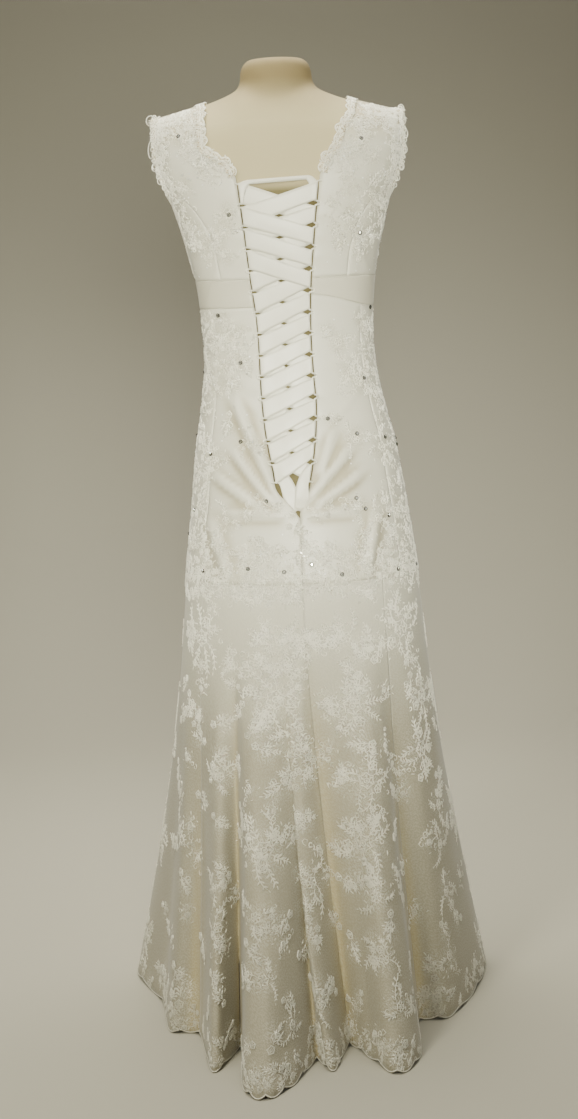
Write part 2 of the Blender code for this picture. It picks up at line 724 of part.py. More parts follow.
def build_skirt(lace, satin, collection):
    """The lace overskirt in five gores with a train, over a satin underskirt in three."""
    count = len(FOLDS)
    heights = (*SKIRT_HEIGHTS, 0.0)
    gores = (
        ("skirt_back_left", "centre_back_seam", "second_groove"),
        ("skirt_side_left", "second_groove", "left_front_groove"),
        ("skirt_front", "left_front_groove", "right_front_groove"),
        ("skirt_side_right", "right_front_groove", "right_groove"),
        ("skirt_back_right", "right_groove", None),
    )
    for name, first, last in gores:
        end = count if last is None else fold_index(last)
        start = fold_index(first)
        skirt_panel(name, start, end, heights, lambda z: 0 * z, CLOTH, HEM_SCALLOP, lace, collection)

    def lining_drop(z):
        return -(LINING_GAP + LINING_CLOTH) - LINING_DROP * np.clip(1 - z / SKIRT_TOP, 0, 1) ** 0.65

    linings = (
        ("underskirt_back_left", "centre_back_seam", "left_lobe", 3),
        ("underskirt_front", "left_lobe", "right_lobe", 2),
        ("underskirt_back_right", "right_lobe", None, 3),
    )
    for name, first, last, per_fold in linings:
        end = count if last is None else fold_index(last)
        heights = (*LINING_HEIGHTS, LINING_HEM)
        skirt_panel(
            name, fold_index(first), end, heights, lining_drop, LINING_CLOTH, 0, satin, collection,
            UNDER_FOLD, per_fold,
        )


def build_edging(name, angles, levels, side, closed, look, collection):
    """A scalloped strip on a panel's edge, whose points are the edge's own, moved out.

    Its inner border lies on the panel, and its outer border waves past the edge.
    """
    base = body_point(angles, levels, CLOTH + EDGING_GAP)
    normal = body_normal(angles, levels)
    run = np.concatenate(([0], np.cumsum(np.linalg.norm(np.diff(base, axis=0), axis=1))))
    scallops = int(round(run[-1] / SCALLOP_PITCH))
    stations = np.linspace(0, run[-1], scallops * POINTS_PER_SCALLOP + 1)
    place = np.stack([np.interp(stations, run, base[:, k]) for k in range(3)], -1)
    facing = np.stack([np.interp(stations, run, normal[:, k]) for k in range(3)], -1)
    facing /= np.linalg.norm(facing, axis=1, keepdims=True)
    if closed:
        place, facing, stations = place[:-1], facing[:-1], stations[:-1]
        along = np.roll(place, -1, 0) - np.roll(place, 1, 0)
    else:
        along = np.gradient(place, axis=0)
    outwards = np.cross(along, facing) * side
    outwards /= np.linalg.norm(outwards, axis=1, keepdims=True)
    wave = np.abs(np.sin(np.pi * stations / (run[-1] / scallops)))
    outer_edge = place + outwards * (EDGING_OUTSIDE + EDGING_SCALLOP * wave)[:, None]
    inner_edge = place - outwards * EDGING_INSIDE
    if not closed:
        outer_edge[:, 0] = side * np.maximum(side * outer_edge[:, 0], HALF_SEAM)
        inner_edge[:, 0] = side * np.maximum(side * inner_edge[:, 0], HALF_SEAM)
    strip = np.stack((inner_edge, outer_edge), 1)
    if side > 0:
        strip = strip[:, ::-1]
    raised = strip + facing[:, None] * EDGING_CLOTH
    return wall(name, strip, raised, look, collection, ring=closed)


def build_edgings(look, collection):
    """Edgings of the neckline and of the armholes, left and right."""
    up = np.linspace(LACING_TOP + 0.002, SHOULDER_LEVEL, 90)
    down = np.linspace(SHOULDER_LEVEL, FRONT_NECK_LEVEL, 120)[1:]
    fall = np.linspace(SHOULDER_LEVEL, ARMHOLE, 110)
    for word, side in (("left", 1), ("right", -1)):
        angles = np.concatenate((back_edge(up, side), front_edge(down, side)))
        levels = np.concatenate((up, down))
        build_edging(f"neck_edging_{word}", angles, levels, side, False, look, collection)
        angles = np.concatenate((armhole_back(fall, side), armhole_front(fall[::-1], side)[1:]))
        levels = np.concatenate((fall, fall[::-1][1:]))
        build_edging(f"armhole_edging_{word}", angles, levels, -side, True, look, collection)


def opening_x(level, side):
    """x of the laced opening's edge."""
    edge = OPENING_LEFT if side > 0 else OPENING_RIGHT
    return smooth(level, edge["level"], edge["x"])


def over_back(x, level, out):
    """A point over the back opening, this far out from the body surface."""
    return body_point(angle_of(x, level), level, out)


def build_loops(look, collection):
    """A cord down each edge that swings out between its sewn points, as a row of loops."""
    half_straight = RIBBON_END_WIDTH / 2 + 0.0006
    for word, side in (("left", 1), ("right", -1)):
        levels, inset = [], []
        for k in range(LOOP_COUNT):
            fold = FIRST_FOLD - k * LOOP_PITCH
            root = LOOP_PITCH / 2 - 0.0017
            levels += [fold + root, fold + half_straight, fold - half_straight, fold - root]
            inset += [-CORD_ON_PANEL, CORD_INSET, CORD_INSET, -CORD_ON_PANEL]
        levels = np.array(levels)
        x = opening_x(levels, side) - side * np.array(inset)
        height = np.where(np.array(inset) < 0, CORD_SEWN_LEVEL, CORD_LEVEL)
        points = over_back(x, levels, height)
        curve = bpy.data.curves.new(f"loops_{word}", "CURVE")
        curve.dimensions = "3D"
        curve.bevel_depth = CORD_RADIUS
        curve.bevel_resolution = 0
        curve.use_fill_caps = True
        line = curve.splines.new("POLY")
        line.points.add(len(points) - 1)
        line.points.foreach_set("co", np.column_stack((points, np.ones(len(points)))).ravel())
        curve.materials.append(look)
        made = bpy.data.objects.new(f"loops_{word}", curve)
        collection.objects.link(made)


def fold_place(k, side, across):
    """x and level of a point of the cord at fold k, across the ribbon from -0.5 to 0.5."""
    level = FIRST_FOLD - k * LOOP_PITCH + across * RIBBON_END_WIDTH
    return opening_x(level, side) - side * CORD_INSET, level


def strand(start, end, ends, middle):
    """Stations of one straight run of ribbon between two folds, each with its two borders.

    start and end are (k, side). The heights are distances out from the body surface.
    """
    stations = []
    for s in (0.0, 0.22, 0.5, 0.78, 1.0):
        bulge = np.sin(np.pi * s)
        out = ends[0] + (ends[1] - ends[0]) * s
        out = out + (middle - out) * min(bulge * 1.6, 1)
        borders = []
        for across in (-0.5, 0.5):
            x0, z0 = fold_place(*start, across)
            x1, z1 = fold_place(*end, across)
            z = z0 + (z1 - z0) * s + across * (RIBBON_MIDDLE_WIDTH - RIBBON_END_WIDTH) * bulge
            borders.append((x0 + (x1 - x0) * s, z, out))
        stations.append(borders)
    return stations


def turn(k, side, rising):
    """Stations of the ribbon round the cord at a fold, from under it to over it or the other way."""
    stations = []
    for degrees in (-45, 0, 45):
        a = np.radians(degrees if rising else -degrees)
        borders = []
        for across in (-0.5, 0.5):
            x, z = fold_place(k, side, across)
            borders.append((x + side * TURN_RADIUS * np.cos(a), z, CORD_LEVEL + TURN_RADIUS * np.sin(a)))
        stations.append(borders)
    return stations


def tucked_end(side, heights):
    """Stations of a ribbon's end, which narrows and runs down into the point of the V."""
    x0, z0 = fold_place(LOOP_COUNT - 1, side, 0)
    stations = []
    for s, height in zip((0.0, 0.45, 0.9), heights):
        borders = []
        for across in (-0.5, 0.5):
            x = x0 + (-0.004 + side * 0.0045 - x0) * s
            z = z0 - 0.030 * s + across * RIBBON_END_WIDTH * (1 - 0.72 * s)
            borders.append((x, z, height))
        stations.append(borders)
    return stations


def top_strand():
    """Stations of the run that joins the two topmost loops, drawn up into a narrow strip."""
    middle = RIBBON_LOWEST + RIBBON_LAYER
    heights = (RIBBON_HIGHEST, middle, middle, middle, RIBBON_LOWEST)
    stations = []
    for s, height in zip((0.0, 0.12, 0.5, 0.88, 1.0), heights):
        borders = []
        for across in (-0.5, 0.5):
            x0, z0 = fold_place(0, 1, across)
            x1, z1 = fold_place(0, -1, across)
            narrow = FIRST_FOLD + 0.0215 + across * 0.006
            z = z0 if s in (0.0, 1.0) else narrow
            borders.append((x0 + (x1 - x0) * s, z, height))
        stations.append(borders)
    return stations


def falls_on_top(k):
    """Whether the strand that falls from loop k lies over the rising one, as near the top."""
    return k in (1, 2, 3)


def lacing_run(k, rising_right):
    """The strand between loops k and k + 1, from its left end when it falls to the right."""
    if not rising_right:
        height = RIBBON_HIGHEST if falls_on_top(k) else RIBBON_LOWEST
        middle = RIBBON_LOWEST + (2 * RIBBON_LAYER if falls_on_top(k) else 0)
        return strand((k, 1), (k + 1, -1), (height, height), middle)
    right = RIBBON_LOWEST if falls_on_top(k - 1) else RIBBON_HIGHEST
    left = RIBBON_LOWEST if falls_on_top(k + 1) else RIBBON_HIGHEST
    return strand((k, -1), (k + 1, 1), (right, left), RIBBON_LOWEST + RIBBON_LAYER)


def build_ribbon(look, collection):
    """The lacing: one flat ribbon from the point of the V, up through the loops, across and down again."""
    last = LOOP_COUNT - 1
    upper = RIBBON_LOWEST + 2 * RIBBON_LAYER
    left_end = (RIBBON_LOWEST,) * 3
    right_end = (RIBBON_HIGHEST, upper, upper)

    def descent(side):
        """Stations from the topmost loop on this side down to the ribbon's tucked end."""
        stations = []
        for k in range(last):
            run = lacing_run(k, rising_right=side < 0)
            stations += run
            side = -side
            arrived_low = run[-1][0][2] < CORD_LEVEL
            stations += turn(k + 1, side, rising=arrived_low)
        return stations + tucked_end(side, left_end if side > 0 else right_end)

    climb = descent(1)[::-1] + turn(0, 1, rising=True)
    rows = np.array(climb + top_strand() + turn(0, -1, rising=True) + descent(-1))
    points = over_back(rows[..., 0], rows[..., 1], rows[..., 2])
    along = np.gradient(points.mean(axis=1), axis=0)
    normal = np.cross(along, points[:, 1] - points[:, 0])
    normal /= np.linalg.norm(normal, axis=1, keepdims=True)
    half = normal[:, None] * RIBBON_CLOTH / 2
    return wall("lacing_ribbon", points - half, points + half, look, collection)


def build_form(cloth, metal, collection, helpers):
    """The dress form: a smooth torso with a neck, closed below, on a pole and a round base."""
    low = np.concatenate((np.linspace(FORM_BOTTOM, 1.10, 7), np.linspace(1.14, ARMHOLE, 6)))
    levels = np.concatenate((low, shoulder_levels(FORM_SHOULDER_SHARES)))
    columns = 36
    angles = 2 * np.pi * np.arange(columns) / columns
    grid = body_ring_point(
        angles[None],
        levels[:, None],
        FORM_CLEARANCE,
        FORM_SHOULDER_CLEARANCE,
        FORM_HALF_WIDTH,
    )
    points = grid.reshape(-1, 3)
    index = np.arange(len(points)).reshape(len(levels), columns)
    turned = np.roll(index, -1, 1)
    a, b, c, d = index[:-1], turned[:-1], turned[1:], index[1:]
    faces = [tuple(f) for f in np.stack((a, d, c, b), -1).reshape(-1, 4)]
    faces.append(tuple(index[0]))
    torso = add_mesh("form_torso", points, faces, cloth, collection)
    weld = torso.modifiers.new("ridge", "WELD")
    weld.merge_threshold = 0.0001

    neck = bpy.data.meshes.new("form_neck")
    profile = (
        (0, NECK_TOP),
        (0.034, NECK_TOP - 0.0005),
        (0.048, NECK_TOP - 0.005),
        (0.0545, NECK_TOP - 0.014),
        (0.0565, NECK_TOP - 0.030),
        (NECK_RADIUS, NECK_TOP - 0.050),
        (NECK_RADIUS, 1.375),
        (0, 1.375),
    )
    neck.from_pydata([(r, 0, z) for r, z in profile], [(k, k + 1) for k in range(len(profile) - 1)], [])
    made = bpy.data.objects.new("form_neck", neck)
    made.location = (0, NECK_Y, 0)
    helpers.objects.link(made)
    made.hide_render = True
    made.display_type = "WIRE"
    turned_round(made, 28)
    join = torso.modifiers.new("neck", "BOOLEAN")
    join.operation = "UNION"
    join.object = made

    pole_top = FORM_BOTTOM - GAP
    pole_foot = BASE_BOSS_HEIGHT + GAP
    pole = ((0, pole_top), (POLE_RADIUS, pole_top), (POLE_RADIUS, pole_foot), (0, pole_foot))
    turned_piece("stand_pole", pole, 24, metal, collection)
    base = (
        (0, BASE_BOSS_HEIGHT),
        (0.024, BASE_BOSS_HEIGHT),
        (0.026, BASE_BOSS_HEIGHT - 0.002),
        (0.028, BASE_HEIGHT + 0.006),
        (0.036, BASE_HEIGHT + 0.001),
        (BASE_RADIUS - 0.012, BASE_HEIGHT - 0.006),
        (BASE_RADIUS - 0.003, BASE_HEIGHT - 0.010),
        (BASE_RADIUS, BASE_HEIGHT - 0.014),
        (BASE_RADIUS, 0),
        (0, 0),
    )
    turned_piece("stand_base", base, 36, metal, collection)


def turned_round(piece, steps):
    """A Screw modifier that turns the piece's profile once round its own Z axis."""
    screw = piece.modifiers.new("turn", "SCREW")
    screw.steps = steps
    screw.render_steps = steps
    screw.use_merge_vertices = True
    screw.merge_threshold = 0.0001


def turned_piece(name, profile, steps, look, collection):
    """A solid of revolution from its profile, radius and height, top to bottom."""
    mesh = bpy.data.meshes.new(name)
    mesh.from_pydata([(r, 0, z) for r, z in profile], [(k, k + 1) for k in range(len(profile) - 1)], [])
    mesh.materials.append(look)
    made = bpy.data.objects.new(name, mesh)
    collection.objects.link(made)
    turned_round(made, steps)
    return made


def main():
    for thing in list(bpy.data.objects):
        bpy.data.objects.remove(thing)
    dress = bpy.data.collections.new("wedding_dress_on_form")
    helpers = bpy.data.collections.new("cutters")
    bpy.context.scene.collection.children.link(dress)
    bpy.context.scene.collection.children.link(helpers)
    satin = material("ivory_satin", IVORY_SATIN, 0.45)
    lace = material("ivory_lace", IVORY_LACE, 0.75)
    edging = material("corded_lace_edging", IVORY_LACE, 0.65)
    ribbon = material("satin_ribbon", IVORY_SATIN, 0.35)
    cord = material("satin_cord", IVORY_SATIN, 0.50)
    cloth = material("form_calico", FORM_CLOTH, 0.85)
    metal = material("stand_steel", STAND_METAL, 0.40, 1.0)
    build_form(cloth, metal, dress, helpers)
    build_bodice(satin, dress)
    build_band(satin, dress)
    build_hips(satin, dress)
    build_skirt(lace, satin, dress)
    build_edgings(edging, dress)
    build_loops(cord, dress)
    build_ribbon(ribbon, dress)


main()
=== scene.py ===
# %% [markdown]
# # A lace wedding dress, laced at the back, on a dress form
#
# The real dress is ivory satin with corded lace over it. It is fitted to the hips, and then
# opens into a fluted skirt with a short train. It hangs on a cream torso with no limbs.
# Every piece here is worked out on the same body surface as the solid model, only on a finer
# grid, so that each sheet of cloth stays where its solid is.

import json

import bpy
import numpy as np
from mathutils import Matrix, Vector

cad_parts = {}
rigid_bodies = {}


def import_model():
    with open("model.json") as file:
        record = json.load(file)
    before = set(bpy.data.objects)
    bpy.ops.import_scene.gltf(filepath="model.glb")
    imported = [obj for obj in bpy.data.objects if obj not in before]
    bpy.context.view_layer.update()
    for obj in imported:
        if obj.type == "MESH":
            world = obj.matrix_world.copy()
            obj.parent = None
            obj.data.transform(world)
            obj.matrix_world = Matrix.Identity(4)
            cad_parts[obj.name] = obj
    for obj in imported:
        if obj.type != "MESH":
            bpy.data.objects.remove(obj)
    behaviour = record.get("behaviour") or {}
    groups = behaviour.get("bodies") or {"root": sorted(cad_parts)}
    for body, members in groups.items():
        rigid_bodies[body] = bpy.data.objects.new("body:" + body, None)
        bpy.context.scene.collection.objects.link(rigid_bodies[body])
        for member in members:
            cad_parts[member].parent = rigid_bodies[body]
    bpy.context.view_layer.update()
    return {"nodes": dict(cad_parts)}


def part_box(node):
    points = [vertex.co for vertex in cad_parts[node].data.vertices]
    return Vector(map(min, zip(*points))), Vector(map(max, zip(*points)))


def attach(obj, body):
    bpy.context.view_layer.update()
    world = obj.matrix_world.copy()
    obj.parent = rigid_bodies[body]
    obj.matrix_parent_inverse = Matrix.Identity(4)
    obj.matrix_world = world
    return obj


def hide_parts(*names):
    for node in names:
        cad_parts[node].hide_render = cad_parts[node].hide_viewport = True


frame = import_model()


# %% [markdown]
# ## The camera
#
# The photograph looks at the back of the dress from about 3.2 m, slightly downwards, with the
# camera turned a little about its own axis. A camera's three axes can be worked out from those
# angles and put straight into its matrix, which is easier to read than three Euler angles.

# %% Place the camera
PHOTO_HEIGHT = 1119
CAMERA_PLACE = np.array((0.0094, 3.2, 1.2))
LOOK_DOWN = np.radians(8.756)
CAMERA_ROLL = np.radians(-2.279)
FOCAL_PIXELS = 1977.0
SENSOR = 36.0


def camera_axes():
    """Right, up and backward axes: look along -Y, pitch down, then roll about the line of sight."""
    ahead = np.array((0, -np.cos(LOOK_DOWN), -np.sin(LOOK_DOWN)))
    level_up = np.array((0, -np.sin(LOOK_DOWN), np.cos(LOOK_DOWN)))
    level_right = np.array((-1.0, 0, 0))
    c, s = np.cos(CAMERA_ROLL), np.sin(CAMERA_ROLL)
    return c * level_right + s * level_up, c * level_up - s * level_right, -ahead


camera_data = bpy.data.cameras.new("photo_camera")
camera_data.sensor_width = SENSOR
camera_data.lens = FOCAL_PIXELS / PHOTO_HEIGHT * SENSOR
camera = bpy.data.objects.new("photo_camera", camera_data)
bpy.context.scene.collection.objects.link(camera)
camera_matrix = np.eye(4)
camera_matrix[:3, :3] = np.column_stack(camera_axes())
camera_matrix[:3, 3] = CAMERA_PLACE
camera.matrix_world = Matrix(camera_matrix.tolist())
bpy.context.scene.camera = camera
print(f"camera lens {camera_data.lens:.1f} mm")


# %% [markdown]
# ## Materials
#
# Cloth is matt but never flat in colour: threads scatter light, and a fold lets the warm colour
# bounce. Each finish is a small node tree. One helper adds a node, sets it and links it, and one
# sets the shader at the end. The patterns read a point attribute, "flat_place", which holds each
# point's place on the cloth in metres, so a weave follows the cloth round the body.


# %% Colour and node helpers
def linear(hex_colour):
    """An sRGB hex colour as linear red, green, blue and alpha."""
    s = np.array([int(hex_colour[k : k + 2], 16) for k in (1, 3, 5)]) / 255
    rgb = np.where(s <= 0.04045, s / 12.92, ((s + 0.055) / 1.055) ** 2.4)
    return (*rgb.tolist(), 1.0)


def node(tree, kind, links=(), props=(), **values):
    """A new node. links gives (input, output socket) pairs, props plain settings, values input values."""
    made = tree.nodes.new(kind)
    for name, value in dict(props).items():
        setattr(made, name, value)
    for name, value in values.items():
        made.inputs[name.replace("_", " ")].default_value = value
    for name, output in links:
        tree.links.new(output, made.inputs[name])
    return made


def new_material(name):
    """A new material with its node tree and its shader."""
    made = bpy.data.materials.new(name)
    made.use_nodes = True
    return made, made.node_tree, made.node_tree.nodes["Principled BSDF"]


def finish(tree, shader, colour=None, bump=None, **values):
    """Links a colour and a bump to the shader, and sets its other inputs by name."""
    if colour:
        tree.links.new(colour, shader.inputs["Base Color"])
    if bump:
        tree.links.new(bump.outputs["Normal"], shader.inputs["Normal"])
    for name, value in values.items():
        shader.inputs[name.replace("_", " ")].default_value = value


def thread_pattern(tree, cells_per_m, depth_m, detail=2.0):
    """A fine noise on the cloth's own metres, and a bump from it."""
    place = node(tree, "ShaderNodeAttribute", props={"attribute_name": "flat_place"})
    noise = node(
        tree, "ShaderNodeTexNoise", [("Vector", place.outputs["Vector"])], Scale=cells_per_m, Detail=detail
    )
    return noise, node(
        tree, "ShaderNodeBump", [("Height", noise.outputs["Fac"])], Strength=1.0, Distance=depth_m
    )


COLOUR = {"data_type": "RGBA"}
PRODUCT = {"operation": "MULTIPLY"}
print("helpers ready; ivory is", np.round(linear("#D2CFBE")[:3], 3).tolist(), "in linear light")


# %% Bridal satin
# Duchess satin in ivory: long smooth floats, so it is soft and slightly glossy, with a fine slub.
# Real threads are 0.1 mm apart. They are drawn 2.3 mm apart so that a little of them shows. On
# the bodice and hips net lies on it wherever lace is worked, and shows there as a faint grey
# mottle, whose darker holes are painted shade between the threads. Valleys between folds are
# painted a warmer grey, as painted shade. The lining stops short of the shoulder seam, so there
# the form's cream comes through.
satin, tree, shader = new_material("ivory_duchess_satin")
slub, bump = thread_pattern(tree, 430.0, 0.00010)
# Painted shade: valleys between folds, and the band, are mixed towards a warmer grey.
painted_shade = node(tree, "ShaderNodeAttribute", props={"attribute_name": "painted_shade"})
fold_shade_tint = node(
    tree, "ShaderNodeMix", [("Factor", painted_shade.outputs["Fac"])], COLOUR,
    A=linear("#D2CFBE"), B=linear("#A49A7C"),
)
worked = node(tree, "ShaderNodeAttribute", props={"attribute_name": "worked"})
# The darker holes of the net's mottle are painted shade between the threads.
shaded_holes = node(
    tree, "ShaderNodeMapRange", [("Value", slub.outputs["Fac"])],
    From_Min=0.45, From_Max=0.56, To_Max=0.85,
)
netted = node(tree, "ShaderNodeMath", props=PRODUCT)
tree.links.new(shaded_holes.outputs["Result"], netted.inputs[0])
tree.links.new(worked.outputs["Fac"], netted.inputs[1])
figured = node(
    tree, "ShaderNodeMix", [("Factor", netted.outputs["Value"]), ("A", fold_shade_tint.outputs["Result"])], COLOUR,
    B=linear("#A09A80"),
)
coords = node(tree, "ShaderNodeTexCoord")
height = node(tree, "ShaderNodeSeparateXYZ", [("Vector", coords.outputs["Object"])])
sheer = node(
    tree, "ShaderNodeMapRange", [("Value", height.outputs["Z"])],
    From_Min=1.365, From_Max=1.420, To_Max=0.75,
)
shoulder = node(
    tree, "ShaderNodeMix", [("Factor", sheer.outputs["Result"]), ("A", figured.outputs["Result"])], COLOUR,
    B=linear("#BDAE88"),
)
finish(tree, shader, shoulder.outputs["Result"], bump, Roughness=0.42, Sheen_Weight=0.2, Sheen_Roughness=0.4)
print(satin.name)


# %% Net over satin
# Soft tulle over the satin: matt and greyer than it. Fine threads cover it where the lace is
# worked, and a little everywhere else, so a mottle of thread and hole is drawn about 2.5 mm wide.
# Towards the hem the lining falls away from the net and sends less light back through it, so the
# net is painted darker lower down, as painted shade. The hollows of the flutes are painted a warmer
# grey, as painted shade.
net, tree, shader = new_material("ivory_tulle_over_satin")
slub, bump = thread_pattern(tree, 380.0, 0.00022, 3.0)
coords = node(tree, "ShaderNodeTexCoord")
height = node(tree, "ShaderNodeSeparateXYZ", [("Vector", coords.outputs["Object"])])
# Painted shade: the net darkens towards the hem.
lit_higher_up = node(
    tree, "ShaderNodeMapRange", [("Value", height.outputs["Z"])],
    From_Min=0.43, From_Max=0.71,
)
shaded_towards_hem = node(
    tree, "ShaderNodeMix", [("Factor", lit_higher_up.outputs["Result"])], COLOUR,
    A=linear("#938D79"), B=linear("#C6C3B2"),
)
# Painted shade in the hollows of the flutes.
painted_shade = node(tree, "ShaderNodeAttribute", props={"attribute_name": "painted_shade"})
ground = node(
    tree, "ShaderNodeMix", [("Factor", painted_shade.outputs["Fac"]), ("A", shaded_towards_hem.outputs["Result"])], COLOUR,
    B=linear("#A49875"),
)
worked = node(tree, "ShaderNodeAttribute", props={"attribute_name": "worked"})
share = node(tree, "ShaderNodeMapRange", [("Value", worked.outputs["Fac"])], To_Min=0.22, To_Max=1.0)
threads = node(
    tree, "ShaderNodeMapRange", [("Value", slub.outputs["Fac"])],
    From_Min=0.44, From_Max=0.58, To_Max=0.62,
)
cover = node(tree, "ShaderNodeMath", props=PRODUCT)
tree.links.new(threads.outputs["Result"], cover.inputs[0])
tree.links.new(share.outputs["Result"], cover.inputs[1])
figured = node(
    tree, "ShaderNodeMix", [("Factor", cover.outputs["Value"]), ("A", ground.outputs["Result"])], COLOUR,
    B=linear("#E2DECE"),
)
finish(
    tree, shader, figured.outputs["Result"], bump, Roughness=0.85, Specular_IOR_Level=0.2, Sheen_Weight=0.2
)
print(net.name)


# %% Net on its own
# At the neck and armholes the same net has no satin behind it, so it takes the form's cream, and the
# threads worked over it stand out more.
sheer_net, tree, shader = new_material("ivory_tulle_edging")
slub, bump = thread_pattern(tree, 420.0, 0.00030, 3.0)
threads = node(
    tree, "ShaderNodeMapRange", [("Value", slub.outputs["Fac"])],
    From_Min=0.45, From_Max=0.55,
)
figured = node(
    tree, "ShaderNodeMix", [("Factor", threads.outputs["Result"])], COLOUR,
    A=linear("#A99B78"), B=linear("#EDE7D2"),
)
finish(tree, shader, figured.outputs["Result"], bump, Roughness=0.75)
print(sheer_net.name)


# %% Lace cord
# Rayon cording and padded embroidery: lighter than the net, with a soft lustre of twisted thread.
# The cord's twist is under 1 mm and is drawn at 1.3 mm. Its thread is thin and takes some of the
# net's shade, so it is painted darker towards the hem, as painted shade.
lace, tree, shader = new_material("corded_rayon_lace")
coords = node(tree, "ShaderNodeTexCoord")
twist = node(tree, "ShaderNodeTexNoise", [("Vector", coords.outputs["Object"])], Scale=760.0, Detail=2.0)
bump = node(tree, "ShaderNodeBump", [("Height", twist.outputs["Fac"])], Strength=0.8, Distance=0.0003)
shade = node(
    tree, "ShaderNodeMix", [("Factor", twist.outputs["Fac"])], COLOUR, A=linear("#E6E2D0"), B=linear("#FFFDF0")
)
height = node(tree, "ShaderNodeSeparateXYZ", [("Vector", coords.outputs["Object"])])
# Painted shade: the cord darkens towards the hem.
cord_hem_shade = node(
    tree, "ShaderNodeMapRange", [("Value", height.outputs["Z"])],
    From_Min=0.20, From_Max=0.68, To_Min=0.36, To_Max=0.0,
)
cord_shaded = node(
    tree, "ShaderNodeMix", [("Factor", cord_hem_shade.outputs["Result"]), ("A", shade.outputs["Result"])], COLOUR,
    B=linear("#A39D86"),
)
finish(tree, shader, cord_shaded.outputs["Result"], bump, Roughness=0.42, Sheen_Weight=0.2)
print(lace.name)


# %% Ribbon and cord
# Double-faced satin ribbon, woven at 0.1 mm and drawn at 1.4 mm. Smoother than the dress's satin.
ribbon_satin, tree, shader = new_material("double_faced_satin_ribbon")
weave, bump = thread_pattern(tree, 700.0, 0.00004)
finish(tree, shader, None, bump, Base_Color=linear("#DFDCCB"), Roughness=0.38, Sheen_Weight=0.2)
print(ribbon_satin.name)


# %% Calico of the form
# Unbleached calico glued over the moulded torso: a plain weave, drawn at 1.5 mm, yellowed with age.
# The neck is painted darker towards its top, as painted shade where the light falls off. Inside the
# dress it is in shade, and the gaps between the ribbon's runs show it painted olive.
calico, tree, shader = new_material("calico_cover")
coords = node(tree, "ShaderNodeTexCoord")
weave = node(tree, "ShaderNodeTexNoise", [("Vector", coords.outputs["Object"])], Scale=650.0, Detail=2.0)
age = node(tree, "ShaderNodeTexNoise", [("Vector", coords.outputs["Object"])], Scale=5.0, Detail=3.0)
bump = node(tree, "ShaderNodeBump", [("Height", weave.outputs["Fac"])], Strength=0.6, Distance=0.0002)
aged = node(
    tree, "ShaderNodeMix", [("Factor", age.outputs["Fac"])], COLOUR, A=linear("#B4A881"), B=linear("#BDB28E")
)
form_height = node(tree, "ShaderNodeSeparateXYZ", [("Vector", coords.outputs["Object"])])
# Painted shade: the neck darkens towards its top.
neck_shade_share = node(
    tree, "ShaderNodeMapRange", [("Value", form_height.outputs["Z"])],
    From_Min=1.405, From_Max=1.475, To_Max=0.85,
)
neck_shaded = node(
    tree, "ShaderNodeMix", [("Factor", neck_shade_share.outputs["Result"]), ("A", aged.outputs["Result"])], COLOUR,
    B=linear("#7E6C46"),
)
under_lacing = node(
    tree, "ShaderNodeMapRange", [("Value", form_height.outputs["Z"])],
    From_Min=1.298, From_Max=1.312, To_Min=0.95, To_Max=0.0,
)
shaded = node(
    tree, "ShaderNodeMix", [("Factor", under_lacing.outputs["Result"]), ("A", neck_shaded.outputs["Result"])], COLOUR,
    B=linear("#665D38"),
)
finish(tree, shader, shaded.outputs["Result"], bump, Roughness=0.85)
print(calico.name)


# %% Steel, glass, silver and sequins
# Powder-coated steel: matt grey with the fine orange peel of the sprayed powder.
steel, tree, shader = new_material("powder_coated_steel")
coords = node(tree, "ShaderNodeTexCoord")
peel = node(tree, "ShaderNodeTexNoise", [("Vector", coords.outputs["Object"])], Scale=420.0)
bump = node(tree, "ShaderNodeBump", [("Height", peel.outputs["Fac"])], Strength=0.4, Distance=0.0001)
finish(tree, shader, None, bump, Base_Color=linear("#8A8A8C"), Roughness=0.5)

# Foiled lead glass in a tarnished claw: dark at most angles, with a few bright facets. A sequin is
# a thin clear cup with a mirror back.
crystal, tree, shader = new_material("foiled_lead_glass")
finish(tree, shader, Base_Color=linear("#E4E5E2"), Metallic=1.0, Roughness=0.18)
claw, tree, shader = new_material("tarnished_silver_claw")
finish(tree, shader, Base_Color=linear("#3E3B34"), Metallic=1.0, Roughness=0.35)
sequin, tree, shader = new_material("clear_sequin")
finish(tree, shader, Base_Color=linear("#FFFFFA"), Metallic=0.7, Roughness=0.32)
print(steel.name, crystal.name, claw.name, sequin.name)


# %% [markdown]
# ## The body surface
#
# A dress pattern is drafted from a few body measures taken at known heights. The surface here is
# built the same way: a short table of half widths and depths, a smooth curve through each column,
# and a rounded ring at every height. Over the shoulders the rings close on the shoulder seam.
# Two numbers give any point: the angle round the body and the level up it.

# %% Body measures
HERE = {name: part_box(name) for name in ("skirt_front", "band_front", "form_torso", "bodice_back_left")}
SKIRT_TOP = round(HERE["skirt_front"][1][2], 3)
BAND_BOTTOM = 1.1205
BAND_TOP = 1.164
ARMHOLE = 1.290
SHOULDER_LEVEL = 1.440
LACING_TOP = 1.318
FRONT_NECK_LEVEL = 1.264
PRINCESS_BACK_TOP = 1.325
PRINCESS_FRONT_TOP = 1.330
SHOULDER_HALF = 0.200
SHOULDER_TIP_Z = 1.417
SHOULDER_SLOPE = 0.24
SHOULDER_FULLNESS = 3.0
SHOULDER_Y = -0.005
BACK_ROUNDING = 3.2
FRONT_ROUNDING = 2.2
NECK_RADIUS = 0.0575
NECK_NEAREST = 0.0535
NECK_FLARE = 0.012
NECK_FLARE_LENGTH = 0.030
CUP_X, CUP_HEIGHT = 0.076, 1.218
CUP_OUT, CUP_WIDTH = 0.027, 0.047
CUP_RISE, CUP_FALL = 0.052, 0.036
CLOTH = 0.0015
BAND_CLOTH = 0.0021
SEAM_HALF_GAP = 0.0001


def table(columns, rows):
    """The named columns of a short table, each one an array."""
    return dict(zip(columns, np.array(rows, float).T))


